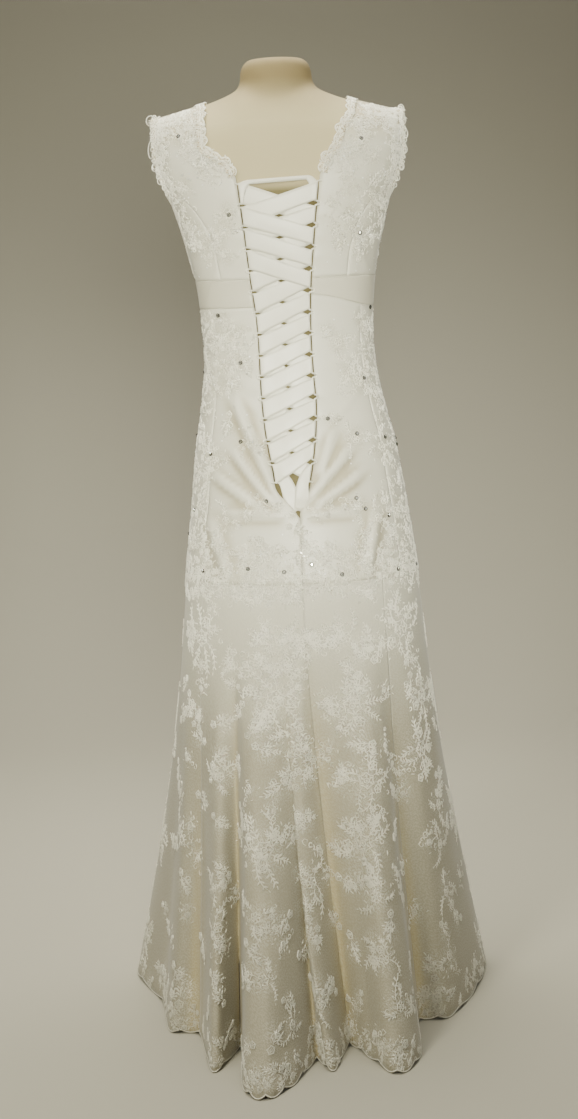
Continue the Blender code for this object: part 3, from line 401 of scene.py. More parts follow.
BODY = table(
    ("height", "half_width", "back", "front", "centre_x", "fullness"),
    [
        (0.690, 0.188, 0.150, 0.140, -0.011, 2.10),
        (0.750, 0.180, 0.141, 0.129, -0.011, 2.12),
        (0.800, 0.173, 0.132, 0.119, -0.011, 2.15),
        (0.850, 0.166, 0.123, 0.111, -0.010, 2.18),
        (0.900, 0.159, 0.113, 0.106, -0.009, 2.20),
        (0.950, 0.148, 0.102, 0.102, -0.007, 2.20),
        (1.000, 0.139, 0.093, 0.099, -0.005, 2.20),
        (1.050, 0.134, 0.088, 0.098, -0.004, 2.20),
        (1.100, 0.136, 0.089, 0.101, -0.003, 2.20),
        (1.150, 0.140, 0.093, 0.106, -0.003, 2.25),
        (1.200, 0.149, 0.098, 0.110, -0.002, 2.30),
        (1.250, 0.161, 0.102, 0.112, -0.001, 2.45),
        (1.290, 0.172, 0.104, 0.110, 0.000, 2.70),
    ],
)
OPENING_LEFT = table(
    ("level", "x"),
    [(0.792, -0.009), (0.808, 0.000), (0.829, 0.020), (0.868, 0.030), (0.915, 0.038), (0.977, 0.043),
     (1.039, 0.044), (1.101, 0.046), (1.164, 0.053), (1.241, 0.060), (1.318, 0.068)],
)
OPENING_RIGHT = table(
    ("level", "x"),
    [(0.792, -0.009), (0.808, -0.014), (0.820, -0.021), (0.850, -0.030), (0.881, -0.036), (0.927, -0.042),
     (0.973, -0.044), (1.005, -0.042), (1.067, -0.040), (1.144, -0.042), (1.206, -0.048), (1.267, -0.055),
     (1.318, -0.062)],
)
BAND_EDGE_RIGHT = table(
    ("degrees", "level"),
    [(-180, 1.1205), (-120, 1.1180), (-90, 1.1165), (-66, 1.1170), (-48, 1.1230), (-29, 1.1330),
     (-14, 1.1400), (0, 1.1420)],
)
NECKLINE_LEFT = table(
    ("level", "x"),
    [(1.318, 0.069), (1.340, 0.080), (1.354, 0.097), (1.366, 0.112), (1.390, 0.115), (1.440, 0.117)],
)
NECKLINE_RIGHT = table(
    ("level", "x"),
    [(1.318, 0.063), (1.341, 0.070), (1.362, 0.086), (1.387, 0.095), (1.412, 0.109), (1.440, 0.115)],
)
NECKLINE_FRONT = table(
    ("level", "x"),
    [(1.264, 0.000), (1.268, 0.026), (1.285, 0.052), (1.310, 0.076), (1.345, 0.095), (1.390, 0.109),
     (1.440, 0.116)],
)
ARMHOLE_BACK = table(
    ("level", "degrees"),
    [(1.290, 90), (1.296, 80), (1.306, 74), (1.325, 71), (1.360, 70), (1.400, 70), (1.440, 68)],
)
ARMHOLE_FRONT = table(
    ("level", "degrees"),
    [(1.290, 90), (1.296, 75), (1.310, 61), (1.330, 54), (1.360, 51), (1.395, 55), (1.422, 62), (1.440, 68)],
)
PRINCESS_BACK = table(
    ("level", "x"),
    [(1.164, 0.098), (1.205, 0.104), (1.245, 0.117), (1.275, 0.136), (1.300, 0.160), (1.325, 0.179)],
)
PRINCESS_FRONT = table(
    ("level", "x"),
    [(1.164, 0.070), (1.205, 0.077), (1.235, 0.081), (1.265, 0.092), (1.295, 0.115), (1.330, 0.150)],
)
PULL_FOLDS = table(
    ("start_x", "start_z", "end_x", "end_z", "rise", "half_width"),
    [
        (0.088, 0.985, 0.024, 0.826, 0.0060, 0.0105),
        (0.092, 0.900, 0.034, 0.818, 0.0055, 0.0085),
        (0.125, 0.862, 0.050, 0.808, 0.0040, 0.0090),
        (0.110, 0.800, 0.020, 0.797, 0.0045, 0.0070),
        (-0.094, 0.896, -0.026, 0.822, 0.0060, 0.0095),
        (-0.112, 0.858, -0.040, 0.813, 0.0050, 0.0085),
        (-0.070, 0.925, -0.046, 0.860, 0.0040, 0.0080),
        (-0.105, 0.800, -0.026, 0.796, 0.0045, 0.0070),
        (-0.132, 0.800, -0.112, 0.705, 0.0060, 0.0110),
        (0.130, 0.790, 0.108, 0.705, 0.0050, 0.0110),
    ],
)
print(f"skirt seam at {SKIRT_TOP:.3f} m, {len(BODY['height'])} body rings")


# %% Curves through the tables
def smooth(x, xs, ys):
    """A smooth curve through a table's points: a cubic on each span, level beyond the ends."""
    x = np.clip(x, xs[0], xs[-1])
    slopes = np.gradient(ys, xs)
    i = np.clip(np.searchsorted(xs, x, side="right") - 1, 0, len(xs) - 2)
    span = xs[i + 1] - xs[i]
    t = (x - xs[i]) / span
    return (
        ys[i] * (1 + 2 * t) * (1 - t) ** 2
        + slopes[i] * span * t * (1 - t) ** 2
        + ys[i + 1] * t**2 * (3 - 2 * t)
        + slopes[i + 1] * span * t**2 * (t - 1)
    )


def round_curve(t, ys, turn=0.0):
    """A smooth closed curve through evenly spaced values. A turn is added each time round."""
    count = len(ys)
    base = np.floor(t).astype(int)
    f = t - base
    before, here, there, after = (
        ys[(base + k) % count] + turn * ((base + k) // count) for k in (-1, 0, 1, 2)
    )
    bend = 2 * before - 5 * here + 4 * there - after
    return here + 0.5 * f * (there - before + f * (bend + f * (3 * (here - there) + after - before)))


# %% The body surface itself
def shoulder_height(x):
    """A straight slope that flares up beside the neck."""
    x = np.maximum(np.abs(x), NECK_NEAREST)
    flare = NECK_FLARE * np.exp(-(x - NECK_RADIUS) / NECK_FLARE_LENGTH)
    return SHOULDER_TIP_Z + SHOULDER_SLOPE * (SHOULDER_HALF - x) + flare


def ring_at(level):
    """Each ring measure at a level. Above the armholes the depth closes as a rounded arch."""
    level = np.asarray(level, float)
    low = np.minimum(level, ARMHOLE)
    ring = {name: smooth(low, BODY["height"], BODY[name]) for name in BODY if name != "height"}
    up = np.clip((level - ARMHOLE) / (SHOULDER_LEVEL - ARMHOLE), 0, 1)
    spread = np.sin(np.minimum(up / 0.6, 1) * np.pi / 2)
    ring["half_width"] = ring["half_width"] + (SHOULDER_HALF - BODY["half_width"][-1]) * spread
    ring["back"] = ring["back"] * np.sqrt(np.maximum(1 - up**BACK_ROUNDING, 0))
    ring["front"] = ring["front"] * np.sqrt(np.maximum(1 - up**FRONT_ROUNDING, 0))
    ring["fullness"] = ring["fullness"] + (SHOULDER_FULLNESS - BODY["fullness"][-1]) * spread
    ring["middle_y"] = SHOULDER_Y * up
    ring["up"] = up
    return ring


def cups(x, z):
    """How far the front stands out over the two cups: smooth hills, longer above than below."""
    reach = np.where(z > CUP_HEIGHT, CUP_RISE, CUP_FALL)
    high = np.exp(-(((z - CUP_HEIGHT) / reach) ** 2))
    wide = np.exp(-(((np.abs(x) - CUP_X) / CUP_WIDTH) ** 2)) + 0.25 * np.exp(-((x / CUP_WIDTH) ** 2))
    return CUP_OUT * high * wide


def ring_point(angle, level, clear=0.0, clear_top=0.0, widest=1.0):
    """x and y from a rounded ring, |x/a|^n + |y/b|^n = 1, and z from the level or the shoulder slope."""
    ring = ring_at(level)
    power = 2 / ring["fullness"]
    across = np.sign(np.sin(angle)) * np.abs(np.sin(angle)) ** power
    along = np.sign(np.cos(angle)) * np.abs(np.cos(angle)) ** power
    x = ring["centre_x"] + np.clip((ring["half_width"] - clear) * across, -widest, widest)
    depth = np.where(along > 0, ring["back"], ring["front"]) * (1 - clear / BODY["back"][-1])
    y = ring["middle_y"] + depth * along
    z = np.where(ring["up"] > 0, ARMHOLE + (shoulder_height(x) - clear_top - ARMHOLE) * ring["up"], level)
    y = y - np.where(along < 0, cups(x, z) * np.abs(along) ** 0.5, 0)
    return np.stack(np.broadcast_arrays(x, y, z), -1)


def normals_of(surface, a, b, step_a, step_b):
    """Unit outward normals: the cross product of the slopes along b and along a."""
    along_a = surface(a + step_a, b) - surface(a - step_a, b)
    along_b = surface(a, b + step_b) - surface(a, b - step_b)
    normal = np.cross(along_b, along_a)
    return normal / np.maximum(np.linalg.norm(normal, axis=-1, keepdims=True), 1e-12)


PULL_RISE = 1.2
PULL_WIDTH = 0.82


def pull_folds(x, z):
    """The sum of soft ridges, each a bell curve across its own line from start to end."""
    rise = 0
    for x0, z0, x1, z1, height, width in zip(*PULL_FOLDS.values()):
        length = np.hypot(x1 - x0, z1 - z0)
        ux, uz = (x1 - x0) / length, (z1 - z0) / length
        along = ((x - x0) * ux + (z - z0) * uz) / length
        off = (x - x0) * uz - (z - z0) * ux
        ends = np.exp(-((np.maximum(np.abs(along - 0.55) - 0.35, 0) / 0.16) ** 2))
        rise = rise + PULL_RISE * height * ends * np.exp(-((off / (PULL_WIDTH * width)) ** 2))
    return rise


def body_point(angle, level, out=0.0):
    """A point of the dress's inner face, with its pull folds, moved out along the normal."""
    angle, level = np.broadcast_arrays(np.asarray(angle, float), np.asarray(level, float))
    point = ring_point(angle, level)
    behind = np.clip(np.cos(angle) * 4, 0, 1)
    rise = pull_folds(point[..., 0], point[..., 2]) * behind + small_creases(angle, level, point)
    normal = normals_of(ring_point, angle, np.minimum(level, SHOULDER_LEVEL - 2e-5), 1e-3, 1e-5)
    return point + normal * (rise + out)[..., None]


# %% [markdown]
# Small creases are what tells cloth from plaster. The satin puckers a little beside each loop,
# because the ribbon pulls it there, and the waist has a few soft diagonals. They are ridges of
# 1 to 2 mm, so they fit between the solid's wall and the 10 mm that cloth may stand proud.

# %% Small creases
LOOP_PITCH = 0.0333
LOOP_COUNT = 14
FIRST_FOLD = 1.2945
WAIST_CREASES = table(
    ("degrees", "level", "slope", "rise", "half_width", "reach"),
    [
        (42, 1.060, 0.55, 0.0022, 0.0060, 0.050),
        (55, 1.025, 0.40, 0.0018, 0.0055, 0.060),
        (34, 0.985, 0.90, 0.0016, 0.0060, 0.045),
        (-40, 1.040, -0.35, 0.0022, 0.0055, 0.055),
        (-52, 1.000, -0.50, 0.0018, 0.0060, 0.060),
        (-35, 0.965, -0.75, 0.0018, 0.0060, 0.050),
        (38, 1.200, -1.30, 0.0020, 0.0075, 0.045),
        (-44, 1.215, 1.10, 0.0018, 0.0080, 0.050),
        (120, 1.060, 0.30, 0.0018, 0.0060, 0.060),
        (-128, 1.040, -0.25, 0.0018, 0.0060, 0.060),
        (160, 1.010, 0.20, 0.0014, 0.0060, 0.070),
        (-165, 0.985, -0.20, 0.0014, 0.0060, 0.070),
    ],
)


def small_creases(angle, level, point):
    """Ridges beside the loops that fade over 30 mm, and the waist's diagonals from the table."""
    degrees = np.degrees((angle + np.pi) % (2 * np.pi) - np.pi)
    edge_x = np.where(
        degrees > 0,
        smooth(level, OPENING_LEFT["level"], OPENING_LEFT["x"]),
        smooth(level, OPENING_RIGHT["level"], OPENING_RIGHT["x"]),
    )
    gone = np.maximum(np.abs(point[..., 0]) - np.abs(edge_x), 0)
    phase = (level - FIRST_FOLD) / LOOP_PITCH
    laced = (np.abs(degrees) < 60) & (level > 0.84) & (level < 1.31)
    rise = np.where(laced, 0.0011 * np.cos(2 * np.pi * phase) * np.exp(-gone / 0.018), 0)
    for centre, height, slope, ridge, width, reach in zip(*WAIST_CREASES.values()):
        across = (degrees - centre) * 0.0022
        off = (level - height) - slope * across
        rise = rise + ridge * np.exp(-((off / width) ** 2) - (across / reach) ** 2)
    return rise


def angle_of(x, level, front=False):
    """The angle at which a level's ring has this x: the ring formula solved for the angle."""
    ring = ring_at(level)
    share = (np.asarray(x, float) - ring["centre_x"]) / ring["half_width"]
    angle = np.sign(share) * np.arcsin(np.clip(np.abs(share), 0, 1) ** (ring["fullness"] / 2))
    return np.pi - angle if front else angle


print("waist half width:", float(ring_at(1.05)["half_width"]))


# %% [markdown]
# ## The skirt
#
# A gored skirt is a fitted ring at the hips and a far longer edge at the floor, and the length
# that is too much hangs in flutes. So the skirt is a blend from the hip ring to a smooth hem, and
# each flute leaves that blend for its own place on the floor. The table has a row for each
# crest and each hollow, which is how one would note them down while walking round the dress.

# %% Folds of the skirt
FOLD_ROWS = (
    (0, -0.053, 0.322, 0.62),
    (4, -0.027, 0.415, 0.27),
    (9, -0.002, 0.375, 0.56),
    (15, 0.034, 0.460, 0.58),
    (22, 0.074, 0.508, 0.60),
    (29, 0.105, 0.468, 0.60),
    (35, 0.113, 0.318, 0.60),
    (45, 0.152, 0.402, 0.57),
    (57, 0.178, 0.258, 0.56),
    (68, 0.225, 0.235, 0.56),
    (80, 0.244, 0.112, 0.52),
    (97, 0.294, -0.035, 0.50),
    (116, 0.243, -0.140, 0.50),
    (134, 0.214, -0.232, 0.50),
    (149, 0.142, -0.218, 0.48),
    (163, 0.084, -0.284, 0.50),
    (176, 0.022, -0.250, 0.48),
    (190, -0.048, -0.288, 0.50),
    (205, -0.112, -0.232, 0.48),
    (221, -0.186, -0.252, 0.50),
    (240, -0.232, -0.150, 0.50),
    (262, -0.296, -0.045, 0.50),
    (281, -0.272, 0.095, 0.50),
    (302, -0.216, 0.222, 0.54),
    (319, -0.166, 0.238, 0.60),
    (328, -0.158, 0.372, 0.60),
    (336, -0.121, 0.436, 0.60),
    (347, -0.084, 0.372, 0.58),
)
FOLD = table(("hip_degrees", "hem_x", "hem_y", "start"), FOLD_ROWS)
FOLD_COUNT = len(FOLD_ROWS)
UNDER_FOLD = {name: column.copy() for name, column in FOLD.items()}
for column in UNDER_FOLD.values():
    column[1] = (column[0] + column[2]) / 2
print(FOLD_COUNT, "crests and hollows")


# %% The skirt surface
HEM_HALF_WIDTH = 0.286
HEM_BACK = 0.400
HEM_FRONT = 0.262
HEM_CENTRE_X = -0.004
SIDE_FLARE = 1.12
BACK_FLARE = 1.35
FOLD_POWER = 1.25
SIDE_SAG = 0.006


def skirt_point(t, height, fold=FOLD):
    """A blend from hip ring to hem, plus each fold's own offset times how far it has opened."""
    t, height = np.broadcast_arrays(np.asarray(t, float), np.asarray(height, float))
    angle = np.radians(round_curve(t, fold["hip_degrees"], 360))
    start = round_curve(t, fold["start"])
    fall = np.clip(1 - height / SKIRT_TOP, 0, None)
    grow = fall ** (SIDE_FLARE + (BACK_FLARE - SIDE_FLARE) * np.clip(np.cos(angle), 0, 1))
    power = 2 / BODY["fullness"][0]
    across = np.sign(np.sin(angle)) * np.abs(np.sin(angle)) ** power
    along = np.sign(np.cos(angle)) * np.abs(np.cos(angle)) ** power
    hem_x = HEM_CENTRE_X + HEM_HALF_WIDTH * across
    hem_y = np.where(along > 0, HEM_BACK, HEM_FRONT) * along
    top_x = BODY["centre_x"][0] + BODY["half_width"][0] * across
    top_y = np.where(along > 0, BODY["back"][0], BODY["front"][0]) * along
    depth = np.clip(1 - height / start, 0, None) ** FOLD_POWER
    sag = SIDE_SAG * np.sin(np.pi * np.clip(fall, 0, 1)) * np.sin(angle)
    x = top_x + (hem_x - top_x) * grow + (round_curve(t, fold["hem_x"]) - hem_x) * depth - sag
    y = top_y + (hem_y - top_y) * grow + (round_curve(t, fold["hem_y"]) - hem_y) * depth
    return np.stack((x, y, height + 0 * x), -1)


def skirt_normal(t, height, fold=FOLD):
    """Outward normals of the skirt."""
    height = np.minimum(height, SKIRT_TOP - 1e-4)
    return normals_of(lambda a, b: skirt_point(a, b, fold), t, height, 2e-2, 1e-4)


def skirt_ripples(t, height):
    """Small unevenness of hanging cloth, up to 1.5 mm: slow waves that drift across the flutes."""
    down = np.clip(1 - height / SKIRT_TOP, 0, 1)
    waves = np.sin(5.3 * t + 9 * height) + 0.6 * np.sin(8.1 * t - 14 * height + 2)
    waves = waves + 0.5 * np.sin(23 * height + 3 * t)
    return 0.0007 * waves * down * np.clip(height / 0.05, 0, 1)


def flute_shade_share(t, height):
    """Painted shade by how deep in a flute a point lies, 0 on a crest to 1 in a hollow: its offset from the
    blend.
    """
    point = skirt_point(t, height)
    around = sum(skirt_point(t + s, height) for s in (-1.1, -0.6, 0.6, 1.1)) / 4
    inward = -((point - around) * skirt_normal(t, height)).sum(-1)
    return np.clip(inward / 0.030, 0, 1) ** 1.2


hem_depth = np.ptp(skirt_point(np.arange(0, FOLD_COUNT, 0.1), 0.0)[:, 1])
print(f"hem, back to front: {hem_depth:.3f} m")


# %% [markdown]
# ## A sheet of cloth
#
# Every panel is a grid of points, given thickness by a second grid moved out along the normal,
# with a rim between them. The grid is worked out as whole arrays. Each point also keeps its place
# on the flat cloth, measured along the rows and columns, for the weave to follow.


# %% The sheet helper
def put_mesh(name, points, faces, look, attributes=()):
    """A smooth mesh object at the origin from point and quad or triangle arrays, with point attributes."""
    mesh = bpy.data.meshes.new(name)
    size = faces.shape[1]
    mesh.vertices.add(len(points))
    mesh.vertices.foreach_set("co", np.ascontiguousarray(points, np.float32).ravel())
    mesh.loops.add(faces.size)
    mesh.loops.foreach_set("vertex_index", np.ascontiguousarray(faces, np.int32).ravel())
    mesh.polygons.add(len(faces))
    mesh.polygons.foreach_set("loop_start", np.arange(len(faces), dtype=np.int32) * size)
    mesh.update(calc_edges=True)
    mesh.validate()
    for key, values in dict(attributes).items():
        kind = "FLOAT" if values.ndim == 1 else "FLOAT_VECTOR"
        field = mesh.attributes.new(key, kind, "POINT")
        field.data.foreach_set("value" if kind == "FLOAT" else "vector", np.float32(values).ravel())
    mesh.materials.append(look)
    mesh.shade_smooth()
    made = bpy.data.objects.new(name, mesh)
    bpy.context.scene.collection.objects.link(made)
    return made


def path_length(points, axis):
    """Running length along one axis of a grid of points."""
    step = np.linalg.norm(np.diff(points, axis=axis), axis=-1)
    return np.insert(np.cumsum(step, axis=axis), 0, 0, axis=axis)


def wall_faces(rows, columns, ring=False):
    """Quads of an inner and an outer grid and of the rims that join them."""
    index = np.arange(rows * columns).reshape(rows, columns)
    if ring:
        index = np.vstack((index, index[:1]))
    a, b, c, d = index[:-1, :-1], index[:-1, 1:], index[1:, 1:], index[1:, :-1]
    inside = np.stack((a, b, c, d), -1).reshape(-1, 4)
    shift = rows * columns
    rims = [inside, inside[:, ::-1] + shift]
    edges = [(index[:, 0], 1), (index[:, -1], -1)]
    if not ring:
        edges += [(index[0], -1), (index[-1], 1)]
    for edge, way in edges:
        rims.append(np.stack((edge[:-1], edge[1:], edge[1:] + shift, edge[:-1] + shift), -1)[:, ::way])
    return np.vstack(rims)


def sheet_of(name, inner, outer, look, painted_shade=None, ring=False):
    """A closed sheet between two grids, with its flat place and share of painted shade, and its flat size."""
    across, down = path_length(outer, 1), path_length(outer, 0)
    flat = np.stack((across, down, 0 * across), -1).reshape(-1, 3)
    painted_shade = np.zeros(len(flat)) if painted_shade is None else np.ravel(painted_shade)
    worked = np.zeros(2 * len(flat))
    made = put_mesh(
        name,
        np.vstack((inner.reshape(-1, 3), outer.reshape(-1, 3))),
        wall_faces(*inner.shape[:2], ring),
        look,
        {"flat_place": np.vstack((flat, flat)), "painted_shade": np.concatenate((painted_shade, painted_shade)), "worked": worked},
    )
    diagonals = outer[1:, 1:] - outer[:-1, :-1], outer[1:, :-1] - outer[:-1, 1:]
    doubled = np.linalg.norm(np.cross(*diagonals), axis=-1)
    return made, (float(across[:, -1].max()), float(down[-1].max())), float(doubled.sum() / 2)


def ring_faces(count, columns, closed=False):
    """Triangles between rings of points, with a fan to one more point at each end unless it is closed."""
    index = np.arange(count * columns).reshape(count, columns)
    index = np.vstack((index, index[:1])) if closed else index
    right = np.roll(index, -1, 1)
    quads = np.stack((index[:-1], right[:-1], right[1:], index[1:]), -1).reshape(-1, 4)
    parts = [quads[:, [0, 1, 2]], quads[:, [0, 2, 3]]]
    if not closed:
        low, high = np.full(columns, count * columns), np.full(columns, count * columns + 1)
        parts += [np.stack((right[0], index[0], low), -1), np.stack((index[-1], right[-1], high), -1)]
    return np.vstack(parts)


def declare(made, replaced):
    """Hides the solids that a cloth piece stands for, and attaches the piece to the root body."""
    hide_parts(*replaced)
    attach(made, "root")


# %% [markdown]
# ## Bodice, band and hips
#
# A maker cuts this bodice in eight panels: two backs beside the lacing, two side backs, two side
# fronts and two fronts. A plain band holds them at the ribs, and five panels carry on to the
# hips. Each panel lies between two edges, and an edge is an angle for every level.


# %% Edges of the panels
def around_front(angle, side):
    """The same angle counted from the centre back round this side."""
    return angle if side > 0 else angle - 2 * np.pi


def opening_angle(level, side):
    """The laced opening's edge, and the centre back seam below the V."""
    edge = OPENING_LEFT if side > 0 else OPENING_RIGHT
    x = smooth(level, edge["level"], edge["x"])
    seam = ring_at(level)["centre_x"] + SEAM_HALF_GAP * side
    return np.where(level < edge["level"][0], angle_of(seam, level), angle_of(x, level))


def back_edge(level, side):
    """The laced opening's edge, then the back neckline."""
    neck = NECKLINE_LEFT if side > 0 else NECKLINE_RIGHT
    above = angle_of(side * smooth(level, neck["level"], neck["x"]), level)
    return np.where(level > LACING_TOP, above, opening_angle(level, side))


def front_edge(level, side):
    """The centre front seam, then the front neckline."""
    x = side * smooth(level, NECKLINE_FRONT["level"], NECKLINE_FRONT["x"])
    return around_front(angle_of(x, level, front=True), side)


def armhole_back(level, side):
    return side * np.radians(smooth(level, ARMHOLE_BACK["level"], ARMHOLE_BACK["degrees"]))


def armhole_front(level, side):
    return side * (np.pi - np.radians(smooth(level, ARMHOLE_FRONT["level"], ARMHOLE_FRONT["degrees"])))


def princess_back(level, side):
    """The curved seam from the band to the armhole behind, then the armhole."""
    seam = angle_of(side * smooth(level, PRINCESS_BACK["level"], PRINCESS_BACK["x"]), level)
    return np.where(level > PRINCESS_BACK_TOP, armhole_back(level, side), seam)


def princess_front(level, side):
    """The curved seam from the band over the cup to the armhole, then the armhole."""
    x = side * smooth(level, PRINCESS_FRONT["level"], PRINCESS_FRONT["x"])
    seam = around_front(angle_of(x, level, front=True), side)
    return np.where(level > PRINCESS_FRONT_TOP, armhole_front(level, side), seam)


def underarm_back(level, side):
    return np.where(level > ARMHOLE, armhole_back(level, side), side * np.pi / 2)


def underarm_front(level, side):
    return np.where(level > ARMHOLE, armhole_front(level, side), side * np.pi / 2)


def band_bottom(angle):
    """The band's lower edge: level on the left, and rising behind on the right."""
    degrees = np.degrees((angle + np.pi) % (2 * np.pi) - np.pi)
    right = smooth(degrees, BAND_EDGE_RIGHT["degrees"], BAND_EDGE_RIGHT["level"])
    return np.where(degrees < 0, right, BAND_BOTTOM)


def at(degrees):
    return lambda level: np.radians(degrees) + 0 * level


# %% Rows and columns of a panel
SEAM_DIP = 0.0009
SEAM_DIP_WIDTH = 0.0035
FACE_LIFT = 0.0004
COVERED_BELOW = 0.790
VALLEY_REACH = 0.012
VALLEY_DEPTH = 0.0016
VALLEY_SHADE = 0.75


def panel(name, levels, edges, columns, look, thickness=CLOTH, top=None, bottom=None, even_painted_shade=0.0):
    """A panel between two edges. Its outer face dips towards each seam, but less below the V, where
    lace covers the seams. The valleys between the pull folds are marked for painted shade, and a
    given share of painted shade can be added all over."""
    share = np.linspace(0, 1, columns + 1)
    start, end = edges[0](levels), edges[1](levels)
    angles = start[:, None] + (end - start)[:, None] * share
    grid = levels[:, None] + 0 * angles
    if bottom is not None:
        grid = grid + (bottom(angles) - levels[0]) * np.linspace(1, 0, len(levels))[:, None] ** 2
    if top is not None:
        grid = grid + (top(angles) - levels[-1]) * np.linspace(0, 1, len(levels))[:, None] ** 8
    inner = body_point(angles, grid)
    across, up = path_length(inner, 1), path_length(inner, 0)
    side_gap = np.minimum(across, across[:, -1:] - across)
    end_gap = np.minimum(up, up[-1:] - up)
    dip = SEAM_DIP * (np.exp(-side_gap / SEAM_DIP_WIDTH) + 0.5 * np.exp(-end_gap / SEAM_DIP_WIDTH))
    dip = dip * np.clip((grid - COVERED_BELOW) / 0.030, 0.05, 1)
    outer = body_point(angles, grid, thickness + FACE_LIFT - np.minimum(dip, SEAM_DIP))
    x, z = outer[..., 0], outer[..., 2]
    steps = ((VALLEY_REACH, 0), (-VALLEY_REACH, 0), (0, VALLEY_REACH), (0, -VALLEY_REACH))
    beside = sum(pull_folds(x + dx, z + dz) for dx, dz in steps) / 4
    # Painted shade in the valleys between the pull folds, on the back only.
    valley_shade = np.clip((beside - pull_folds(x, z)) / VALLEY_DEPTH, 0, 1) * (np.cos(angles) > 0)
    return sheet_of(name, inner, outer, look, valley_shade * VALLEY_SHADE + even_painted_shade)


def ordered(first, second, side):
    return (first, second) if side > 0 else (second, first)


def even_levels(low, high, step=0.006):
    return np.linspace(low, high, int(np.ceil((high - low) / step)) + 1)


def shoulder_rows(low, high=SHOULDER_LEVEL):
    """Even levels up to the armholes, and rows that crowd towards the shoulder seam above them."""
    shares = np.sin(np.linspace(0, np.pi / 2, 34)) ** 0.9
    above = ARMHOLE + (SHOULDER_LEVEL - ARMHOLE) * shares[1:]
    rows = np.concatenate((even_levels(low, ARMHOLE, 0.005), above))
    return np.append(rows[rows < high - 1e-4], high)


# %% Cut the bodice
for word, side in (("left", 1), ("right", -1)):
    cuts = (
        ("bodice_back", SHOULDER_LEVEL, back_edge, princess_back, 22),
        ("bodice_side_back", PRINCESS_BACK_TOP, princess_back, underarm_back, 22),
        ("bodice_side_front", PRINCESS_FRONT_TOP, underarm_front, princess_front, 26),
        ("bodice_front", SHOULDER_LEVEL, princess_front, front_edge, 26),
    )
    for stem, top_level, first, second, columns in cuts:
        name = f"{stem}_{word}"
        edges = ordered(
            lambda level, edge=first: edge(level, side), lambda level, edge=second: edge(level, side), side
        )
        made, size, area = panel("cloth_" + name, shoulder_rows(BAND_TOP, top_level), edges, columns, satin)
        declare(made, [name])
        print(f"{name}: {size[0]:.3f} x {size[1]:.3f} m")


# %% Cut the band and the hips
band_cuts = (
    ("band_back_left", lambda level: opening_angle(level, 1), at(90), 40),
    ("band_front", at(90), at(270), 80),
    ("band_back_right", at(-90), lambda level: opening_angle(level, -1), 40),
)
for name, start, end, columns in band_cuts:
    rows = even_levels(BAND_BOTTOM, BAND_TOP, 0.003)
    # The band takes an even share of painted shade all over.
    made, size, area = panel(
        "cloth_" + name, rows, (start, end), columns, satin, BAND_CLOTH, bottom=band_bottom, even_painted_shade=0.25
    )
    declare(made, [name])
hip_cuts = (
    ("hip_back_left", lambda level: opening_angle(level, 1), at(56), 44),
    ("hip_side_left", at(56), at(122), 30),
    ("hip_front", at(122), at(238), 50),
    ("hip_side_right", at(-122), at(-56), 30),
    ("hip_back_right", at(-56), lambda level: opening_angle(level, -1), 44),
)
for name, start, end, columns in hip_cuts:
    rows = even_levels(SKIRT_TOP, BAND_BOTTOM)
    made, size, area = panel("cloth_" + name, rows, (start, end), columns, satin, top=band_bottom)
    declare(made, [name])
    print(f"{name}: {size[0]:.3f} x {size[1]:.3f} m")


# %% [markdown]
# ## Overskirt and underskirt
#
# The overskirt is net with lace, in five gores. The satin underskirt follows it a little inside,
# but passes straight behind the narrow pleat at the centre back, as stiffer cloth does.

# %% Cut the skirt
HEM_SCALLOP = 0.0055
SCALLOPS_PER_FOLD = 3.0
UNDER_CLOTH = 0.0012
UNDER_HEM = 0.042
UNDER_GAP = 0.0020
UNDER_SPREAD = 0.016


def skirt_sheet(
    name, first, last, low, look, drop, thickness, fold=FOLD, scalloped=False, per_fold=12, rows=58
):
    """One gore: t runs from its first fold to its last, and height from the hip seam to the hem."""
    columns = int((last - first) * per_fold)
    t = np.linspace(first, last, columns + 1)[None]
    share = np.linspace(0, 1, rows)[:, None]
    height = SKIRT_TOP + (low - SKIRT_TOP) * share + 0 * t
    if scalloped:
        dips = 1 - np.abs(np.sin(np.pi * SCALLOPS_PER_FOLD * t / 2))
        height = height + HEM_SCALLOP * dips * share**20
    fall = np.clip(1 - height / SKIRT_TOP, 0, 1)
    normal = skirt_normal(t, height, fold)
    out = drop(fall) + skirt_ripples(t, height)
    inner = skirt_point(t + 0 * height, height, fold) + normal * out[..., None]
    outer = inner + normal * thickness
    inner[..., 2] = np.maximum(inner[..., 2], 0)
    outer[..., 2] = np.maximum(outer[..., 2], 0)
    # Each point takes painted shade by how deep in a flute it lies.
    return sheet_of(name, inner[::-1], outer[::-1], look, flute_shade_share(t + 0 * height, height)[::-1])


over_cuts = (
    ("skirt_back_left", 0, 8), ("skirt_side_left", 8, 12), ("skirt_front", 12, 20),
    ("skirt_side_right", 20, 24), ("skirt_back_right", 24, 28),
)
for name, first, last in over_cuts:
    made, size, area = skirt_sheet(
        "cloth_" + name, first, last, 0.0, net, lambda fall: 0 * fall, CLOTH, scalloped=True
    )
    declare(made, [name])
    print(f"{name}: {size[0]:.3f} x {size[1]:.3f} m")
under_cuts = (
    ("underskirt_back_left", 0, 11), ("underskirt_front", 11, 21), ("underskirt_back_right", 21, 28),
)
for name, first, last in under_cuts:
    made, size, area = skirt_sheet(
        "cloth_" + name, first, last, UNDER_HEM, satin,
        lambda fall: -UNDER_GAP - UNDER_SPREAD * fall**0.65, UNDER_CLOTH, UNDER_FOLD, per_fold=8, rows=40,
    )
    declare(made, [name])
    print(f"{name}: {size[0]:.3f} x {size[1]:.3f} m")


